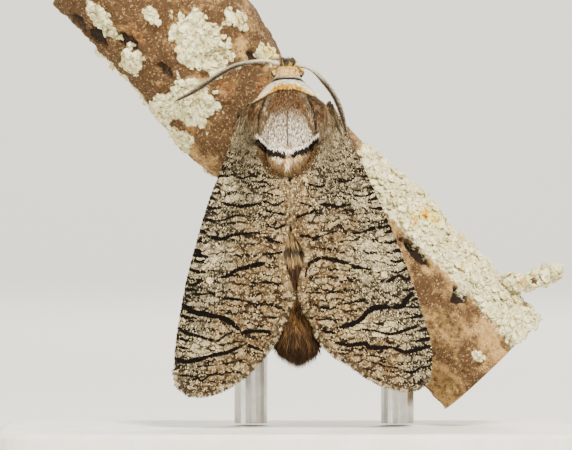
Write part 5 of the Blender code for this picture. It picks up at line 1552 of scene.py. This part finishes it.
def patch_mask(points, patches, warp):
    """How much each place lies within the patches, which are ellipses along the branch."""
    mask = np.zeros(len(points))
    for x, z, along, across in patches:
        offset = points - np.array((x, 0.0, z))
        s = (offset @ BRANCH_DOWN) / along
        v = (offset @ BRANCH_UP) / across
        mask = np.maximum(mask, 1.0 - smoothstep(0.7, 1.15, np.hypot(s, v) + warp))
    return mask


def branch_masks(points, outward):
    """Lichen, hollows and bare wood at each place on the branch."""
    front = smoothstep(-0.1, 0.35, outward @ BRANCH_FRONT)
    warp = noise_at(points, 0.45) * 0.5 + noise_at(points, 1.3, 5.0) * 0.4
    lichen = patch_mask(points, LICHEN_PATCHES, warp) * np.maximum(front, 0.0)
    reached = (points - BRANCH_TOP) @ BRANCH_DOWN + 7.0 * warp
    upper = smoothstep(0.25, 0.7, outward @ BRANCH_UP) * smoothstep(42.0, 46.0, reached)
    wild = smoothstep(0.12, 0.3, noise_at(points, 0.16, 3.0) + 0.35 * noise_at(points, 0.6, 9.0))
    lichen = np.maximum(lichen, np.maximum((1 - front) * wild, upper * smoothstep(-0.55, -0.2, warp)))
    hollow = np.zeros(len(points))
    for x, z, along, across, depth in BARK_HOLLOWS:
        hollow = np.maximum(hollow, patch_mask(points, ((x, z, along, across),), warp) * depth * 2.0)
    bare = patch_mask(points, BARE_WOOD, warp) * front
    wild_bare = smoothstep(0.2, 0.36, noise_at(points, 0.22, 14.0))
    return lichen, hollow * front, np.maximum(bare, wild_bare * (1 - front) * 0.7)


def bark_grid():
    """The bark's points, with finer relief than the solid, and the two sawn ends."""
    tree = tree_of(NODES["perch_branch"])
    turns = np.linspace(0.0, 2 * math.pi, BARK_SECTORS, endpoint=False) + math.pi
    around = np.cos(turns)[:, None] * BRANCH_FRONT + np.sin(turns)[:, None] * BRANCH_UP
    stations = np.linspace(0.12, BRANCH_LENGTH - 0.12, BARK_ROWS)
    radii = np.zeros((BARK_ROWS, BARK_SECTORS))
    for i, s in enumerate(stations):
        middle = BRANCH_TOP + BRANCH_DOWN * s
        for j in range(BARK_SECTORS):
            hit = tree.ray_cast(Vector(middle + around[j] * 20.0), Vector(-around[j]), 20.0)[0]
            radii[i, j] = (hit - Vector(middle)).length if hit is not None else np.nan
    radii = np.where(np.isnan(radii), np.nanmedian(radii), radii)
    radii = smooth_grid(radii, 3, 3)
    middles = BRANCH_TOP + stations[:, None] * BRANCH_DOWN
    grid = middles[:, None] + around[None] * radii[..., None]
    points = grid.reshape(-1, 3)
    outward = np.tile(around, (BARK_ROWS, 1))
    lichen, hollow, bare = branch_masks(points, outward)
    fine = noise_at(points, 3.4, 8.0)
    relief = noise_at(points, 0.55) * 0.34 + noise_at(points, 1.5, 3.0) * 0.2 + fine * 0.12
    relief += lichen * (0.3 + 0.35 * noise_at(points, 1.9, 2.0) + 0.25 * fine) - hollow * 0.9 - bare * 0.12
    relief = np.clip(relief, -1.4, 0.75)
    grid = (points + outward * (relief - 0.12)[:, None]).reshape(grid.shape)

    # Sawn ends: rings that close towards the middle
    def end_rings(row, middle, way):
        rings = []
        for share, inset in ((0.97, 0.1), (0.93, 0.16), (0.75, 0.17), (0.5, 0.18), (0.25, 0.19), (0.08, 0.2)):
            ring = middle + (grid[row] - middle) * share
            rings.append(ring + BRANCH_DOWN * way * inset)
        return rings

    first = end_rings(0, middles[0], -1.0)
    last = end_rings(-1, middles[-1], 1.0)
    whole = np.concatenate([np.array(first[::-1]), grid, np.array(last)])
    ends = len(first)
    cut = np.zeros(whole.shape[:2])
    cut[: ends - 1] = 1.0
    cut[len(whole) - ends + 1 :] = 1.0
    values = [np.pad(v.reshape(BARK_ROWS, -1), ((ends, ends), (0, 0)), mode="edge")
              for v in (lichen, hollow, bare)]
    inside = np.vstack([np.tile(middles[0] + BRANCH_DOWN * 0.5, (ends, 1)), middles,
                        np.tile(middles[-1] - BRANCH_DOWN * 0.5, (ends, 1))])
    return whole, inside[:, None], cut, values


BARK_TAN, BARK_BROWN, BARK_DARK = srgb(184, 146, 90), srgb(86, 62, 38), srgb(36, 24, 15)
CRUST_PALE, CRUST_GREEN, CRUST_BROWN = srgb(255, 248, 204), srgb(204, 194, 140), srgb(98, 76, 46)
LICHEN_YELLOW, LICHEN_HALO = srgb(224, 164, 4), srgb(238, 220, 110)
YELLOW_CUPS = ((16.2, 31.2), (18.8, 31.3), (17.8, 32.0), (-3.2, 53.4))


def bark_material(speckle):
    material, n, shader = new_material("bark", roughness=0.88, specular=0.2)
    place = n.attribute("place", "Vector")
    lichen, hollow, bare, cut, core = (n.attribute(k) for k in ("lichen", "hollow", "bare", "cut", "core"))

    leftward = n.ramp(n.part(place, "X"), 3.0, -8.0, 0.0, 0.08)
    wide = n.maths("SUBTRACT", n.noise(place, 0.22, 5.0, 0.66), leftward)
    colour = n.blend(n.ramp(wide, 0.43, 0.6), BARK_BROWN, BARK_TAN)
    grain = n.noise(place, 1.5, 5.0, 0.72)
    colour = n.blend(n.times(n.ramp(grain, 0.5, 0.66), 0.6), colour, BARK_BROWN)
    colour = n.speckled(speckle, place, colour, srgb(220, 184, 134), 3.1, 0.57, 0.5)
    colour = n.speckled(speckle, place, colour, BARK_DARK, 5.0, 0.56, 0.85)
    colour = n.blend(n.times(bare, n.ramp(grain, 0.6, 0.4, 0.0, 0.4)), colour, srgb(178, 116, 62))
    # Painted shade in the sunken hollows, together with the knots' own dark; dark grain joins in.
    colour = n.blend(n.ramp(n.maths("ADD", hollow, n.times(grain, 0.9)), 0.5, 1.4), colour, BARK_DARK)
    crust_tone = n.blend(n.ramp(n.noise(place, 0.7, 4.0, 0.65), 0.4, 0.6), CRUST_GREEN, CRUST_PALE)
    crust_tone = n.speckled(speckle, place, crust_tone, CRUST_BROWN, 2.6, 0.54, 0.75)
    crust = n.ramp(n.maths("ADD", lichen, n.times(n.maths("SUBTRACT", grain, 0.5), 1.4)), 0.35, 0.6)
    colour = n.blend(crust, colour, crust_tone)
    uneven = n.maths("MULTIPLY_ADD", n.noise(place, 0.35, 2.0), 3.0, n.maths("MULTIPLY_ADD", grain, 0.5, core))
    rings = n.maths("SINE", n.times(uneven, 7.0))
    wood = n.blend(n.ramp(rings, 0.1, 1.0), srgb(204, 168, 112), srgb(180, 140, 88))
    wood = n.blend(n.times(n.ramp(grain, 0.45, 0.7), 0.4), wood, BARK_BROWN)
    colour = n.blend(cut, colour, wood)
    n.dress(shader, colour, n.noise(place, 2.6, 6.0, 0.75), 0.9, 0.0004,
            n.ramp(grain, 0.3, 0.7, 0.78, 0.95))
    return material


def build_branch(bark, lobes_material):
    grid, inside, cut, (lichen, hollow, bare) = bark_grid()
    surface = Surface(grid, inside)
    piece = surface.piece("branch_bark")
    put_values(piece, "place", surface.with_poles(grid))
    axis = (grid - BRANCH_TOP) @ BRANCH_DOWN
    core = np.linalg.norm(grid - BRANCH_TOP - axis[..., None] * BRANCH_DOWN, axis=2)
    for name, values in (("lichen", lichen), ("hollow", hollow), ("bare", bare), ("cut", cut), ("core", core)):
        put_values(piece, name, surface.with_poles(values))
    finish_piece(piece, bark, "bark", "perch_branch")

    weights = smoothstep(0.3, 0.8, lichen) * (1 - cut)
    roots, outward, _, places, draw = surface.scatter(weights + 1e-9, 3300, 5)
    upper = smoothstep(0.2, 0.8, outward @ BRANCH_UP)
    sizes = draw.uniform(0.2, 0.55, len(roots)) * (0.9 + 0.5 * upper)
    grow_lobes("branch_lichen", roots, outward, sizes, 0.12 + 0.3 * upper, places, draw, lobes_material, "bark")


LOBE_SIDES = 9
LOBE_RINGS = 3


def grow_lobes(name, roots, normals, sizes, rise, places, draw, material, slot):
    """Leafy lichen: thin discs with lobed, curled rims, closed underneath."""
    count = len(roots)
    normals = unit_rows(normals + draw.normal(0.0, 0.25, roots.shape))
    first = unit_rows(np.cross(normals, draw.normal(0.0, 1.0, roots.shape)))
    second = np.cross(normals, first)
    turn = np.linspace(0.0, 2 * math.pi, LOBE_SIDES, endpoint=False)
    lobing = np.zeros((count, LOBE_SIDES))
    for waves in (2, 3, 5):
        lobing += np.sin(waves * turn + draw.uniform(0, 7, (count, 1))) * draw.uniform(0.05, 0.2, (count, 1))
    reach = sizes[:, None] * (1.0 + lobing)
    curl = (np.sin(2 * turn + draw.uniform(0, 7, (count, 1))) * 0.5 + 0.5) * np.asarray(rise)[:, None]
    curl = curl * sizes[:, None]
    rays = np.cos(turn)[None, :, None] * first[:, None] + np.sin(turn)[None, :, None] * second[:, None]
    lift = 0.12
    up = normals[:, None]

    def ring(share, height):
        return roots[:, None] + rays * (reach * share)[..., None] + up * (lift + height)[..., None]

    rings = [ring(0.62, curl * 0.3 + 0.04), ring(1.0, curl), ring(0.75, curl * 0.4 - 0.14)]
    middle = (roots + normals * (lift + 0.03))[:, None]
    below = (roots - normals * 0.1)[:, None]
    points = np.concatenate([middle, *rings, below], axis=1)
    size = points.shape[1]
    k = np.arange(LOBE_SIDES)
    m = (k + 1) % LOBE_SIDES
    quads = [np.stack([1 + r * LOBE_SIDES + k, 1 + (r + 1) * LOBE_SIDES + k, 1 + (r + 1) * LOBE_SIDES + m,
                       1 + r * LOBE_SIDES + m], axis=1) for r in range(LOBE_RINGS - 1)]
    fans = [np.stack([np.zeros_like(k), 1 + k, 1 + m], axis=1),
            np.stack([np.full_like(k, size - 1), size - 1 - LOBE_SIDES + m, size - 1 - LOBE_SIDES + k], axis=1)]
    start = np.arange(count)[:, None, None] * size
    piece = mesh_from_arrays(name, points.reshape(-1, 3), (start + np.vstack(quads)[None]).reshape(-1, 4),
                             (start + np.vstack(fans)[None]).reshape(-1, 3))
    flat = np.concatenate([[(0.0, 0.0)], *[np.stack([np.cos(turn), np.sin(turn)], axis=1) * s
                                           for s in (0.6, 1.0, 0.7)], [(0.0, 0.0)]])
    put_bake_map(piece, (places[:, None] + flat[None] * 0.0015).reshape(-1, 2))
    edge = np.concatenate([[0.0], *[np.full(LOBE_SIDES, e) for e in (0.5, 1.0, 0.6)], [0.0]])
    put_values(piece, "edge", np.tile(edge, count))
    put_values(piece, "place", points.reshape(-1, 3))
    put_values(piece, "shade", np.repeat(draw.random(count), size))
    finish_piece(piece, material, slot)


def lichen_material(speckle):
    material, n, shader = new_material("lichen", roughness=0.9, specular=0.15)
    place = n.attribute("place", "Vector")
    patch = n.ramp(n.noise(place, 0.7, 4.0, 0.65), 0.4, 0.6)
    share = n.maths("ADD", n.times(n.attribute("shade"), 0.6), n.times(patch, 0.4))
    colour = n.blend(share, CRUST_GREEN, CRUST_PALE)
    for spots, scale, cutoff, strength in ((CRUST_BROWN, 2.6, 0.54, 0.65), (LICHEN_YELLOW, 0.6, 0.6, 0.6)):
        colour = n.speckled(speckle, place, colour, spots, scale, cutoff, strength)
    colour = n.blend(n.times(n.ramp(n.attribute("edge"), 0.8, 1.0), 0.3), colour, CRUST_PALE)
    branch = tree_of(NODES["perch_branch"])
    for x, z in YELLOW_CUPS:
        away = n.vector("DISTANCE", place, front_hit(branch, x, z)[0][:], "Value")
        colour = n.blend(n.ramp(away, 1.9, 1.0, 0.0, 0.5), colour, LICHEN_HALO)
        colour = n.blend(n.ramp(away, 0.75, 0.6), colour, LICHEN_YELLOW)
    n.dress(shader, colour, n.noise(place, 5.0, 4.0, 0.7), 0.8, 0.0002)
    return material


def build_twig(bark, lobes_material):
    """The side twig, rounded from its solid and roughened, with small lichen lobes all over."""
    points, triangles, normals = smooth_copy(NODES["perch_twig"], levels=3)
    rough = noise_at(points, 1.2) * 0.16 + noise_at(points, 3.0, 4.0) * 0.08
    points = points + normals * (rough - 0.05)[:, None]
    twig = mesh_from_arrays("twig_bark", points, None, triangles)
    low, high = points.min(axis=0), points.max(axis=0)
    around = np.arctan2(normals[:, 1], normals[:, 2]) / math.pi
    across = UNWRAP_EDGE + 0.9 * (points[:, 0] - low[0]) / (high - low)[0]
    places = np.stack([across, 0.5 + 0.4 * around], axis=1)
    put_bake_map(twig, places)
    put_values(twig, "place", points)
    put_values(twig, "lichen", 0.55 + 0.5 * noise_at(points, 0.5))
    for name in ("hollow", "bare", "cut", "core"):
        put_values(twig, name, np.zeros(len(points)))
    finish_piece(twig, bark, "lichen_twig", "perch_twig")
    roots, outward, picked, draw = scatter(points, triangles, np.ones(len(triangles)), 150, 77)
    grow_lobes("twig_lichen", roots, outward, draw.uniform(0.25, 0.75, len(roots)), np.full(len(roots), 0.45),
               places[triangles[picked, 0]], draw, lobes_material, "lichen_twig")


# Display stand


def paint_material(speckle):
    material, n, shader = new_material("stand_paint", roughness=0.45, specular=0.4)
    place = n.own_place()
    faint = n.noise(place, 220.0, 4.0, 0.6)
    colour = n.blend(n.ramp(faint, 0.35, 0.7), srgb(226, 222, 212), srgb(238, 235, 226))
    colour = n.speckled(speckle, place, colour, srgb(186, 178, 164), 2400.0, 0.64, 0.25)
    n.dress(shader, colour, n.noise(place, 900.0, 3.0, 0.5), 0.12, 0.0002,
            n.ramp(faint, 0.3, 0.7, 0.38, 0.52))
    return material


def rod_material():
    material, n, shader = new_material("stand_metal", roughness=0.3, specular=0.5, metallic=1.0)
    place = n.own_place()
    brushed = n.noise(n.stretch(place, (900.0, 900.0, 60.0)), 3.0, 3.0, 0.6)
    smudge = n.noise(place, 260.0, 3.0, 0.6)
    colour = n.blend(n.ramp(smudge, 0.35, 0.7), srgb(186, 184, 180), srgb(206, 204, 200))
    n.dress(shader, colour, brushed, 0.15, 0.00005,
            n.ramp(brushed, 0.3, 0.7, 0.22, 0.4))
    return material


def dress_stand(speckle):
    paint = paint_material(speckle)
    metal = rod_material()
    for name, material in (("stand_base", paint), ("stand_rod_left", metal), ("stand_rod_right", metal)):
        slots = NODES[name].data.materials
        slots.clear()
        slots.append(material)


# Stage, light and camera

STAGE_SIDES = 96


def build_stage():
    """A pale floor that curves up into a wall all round, far outside the model."""
    rise = np.radians(np.arange(1, 13) * 7.5)
    bend = np.stack([1.9 + 0.9 * np.sin(rise), 0.9 - 0.9 * np.cos(rise)], axis=1)
    profile = np.vstack([[(0.0, 0.0), (1.2, 0.0), (1.9, 0.0)], bend, [(2.8, 2.6)]]) / MM
    turn = np.linspace(0.0, 2 * math.pi, STAGE_SIDES, endpoint=False)
    ring = np.stack([np.cos(turn), np.sin(turn), 0.0 * turn], axis=1)
    points = profile[:, :1, None] * ring + profile[:, 1:, None] * (0.0, 0.0, 1.0)
    first = np.arange(len(profile) - 1)[:, None] * STAGE_SIDES
    k = np.arange(STAGE_SIDES)
    m = (k + 1) % STAGE_SIDES
    quads = np.stack([first + k, first + STAGE_SIDES + k, first + STAGE_SIDES + m, first + m], axis=-1)
    floor = mesh_from_arrays("studio_floor", points.reshape(-1, 3), quads.reshape(-1, 4))
    material, _, shader = new_material("studio_paper", roughness=0.9, specular=0.1)
    shader.inputs["Base Color"].default_value = srgb(222, 220, 212)
    floor.data.materials.append(material)


def add_light(name, place, size, power, colour, target=(0.0, -0.005, 0.03)):
    light = bpy.data.lights.new(name, "AREA")
    light.shape = "DISK"
    light.size = size
    light.energy = power
    light.color = colour
    lamp = bpy.data.objects.new(name, light)
    lamp.location = place
    lamp.rotation_euler = (Vector(target) - Vector(place)).to_track_quat("-Z", "Y").to_euler()
    bpy.context.scene.collection.objects.link(lamp)


def build_light_and_camera():
    world = bpy.data.worlds.new("studio_air")
    world.use_nodes = True
    world.node_tree.nodes["Background"].inputs["Color"].default_value = (1.0, 0.98, 0.94, 1.0)
    world.node_tree.nodes["Background"].inputs["Strength"].default_value = 0.96
    bpy.context.scene.world = world
    add_light("key", (0.32, -0.72, 0.78), 0.3, 31.0, (1.0, 0.95, 0.87))
    add_light("fill", (-0.8, -0.55, 0.35), 0.6, 7.0, (1.0, 0.98, 0.94))
    add_light("rim", (0.3, 0.8, 0.8), 0.5, 12.0, (1.0, 0.98, 0.94))
    add_light("wall", (0.0, 1.3, 1.5), 1.2, 40.0, (1.0, 0.985, 0.95), target=(0.0, 2.8, 0.35))

    lens = bpy.data.cameras.new("camera")
    lens.sensor_width = SENSOR_WIDTH
    lens.lens = SENSOR_WIDTH * CAMERA_DISTANCE / PICTURE_WIDTH
    lens.clip_start = 0.01
    lens.clip_end = 20.0
    camera = bpy.data.objects.new("camera", lens)
    camera.location = PICTURE_MIDDLE + Vector((0.0, -CAMERA_DISTANCE, 0.0))
    camera.rotation_euler = (math.radians(90.0), 0.0, 0.0)
    bpy.context.scene.collection.objects.link(camera)
    bpy.context.scene.camera = camera


build_stage()
build_light_and_camera()
speckle = speckle_group()
dress_stand(speckle)
lichen = lichen_material(speckle)
bark = bark_material(speckle)
build_branch(bark, lichen)
build_twig(bark, lichen)

wing_scales = wing_material(wing_marking_group())
hair_tone = hair_tone_group()
hair = hair_material("hair_scales", hair_tone)
skin = hair_material("body_skin", hair_tone, roughness=0.85)
horn = hair_material("horn", hair_tone, roughness=0.4)
for side_name, wing_part in WING_PARTS.items():
    build_wing("forewing_" + side_name, wing_part, wing_scales, "wing_scales",
               ((0.125, 0.105), (0.2, 0.17)), hair)
    build_wing("hindwing_" + side_name, wing_part, wing_scales, "grey_scales",
               ((0.24, 0.2), (0.24, 0.2)), hair)
    build_antenna(side_name, horn, hair)
build_body(hair, skin)
build_eyes(eye_material(), hair)
for limb, start in LIMBS.items():
    build_limb(limb, start, skin, hair, horn)
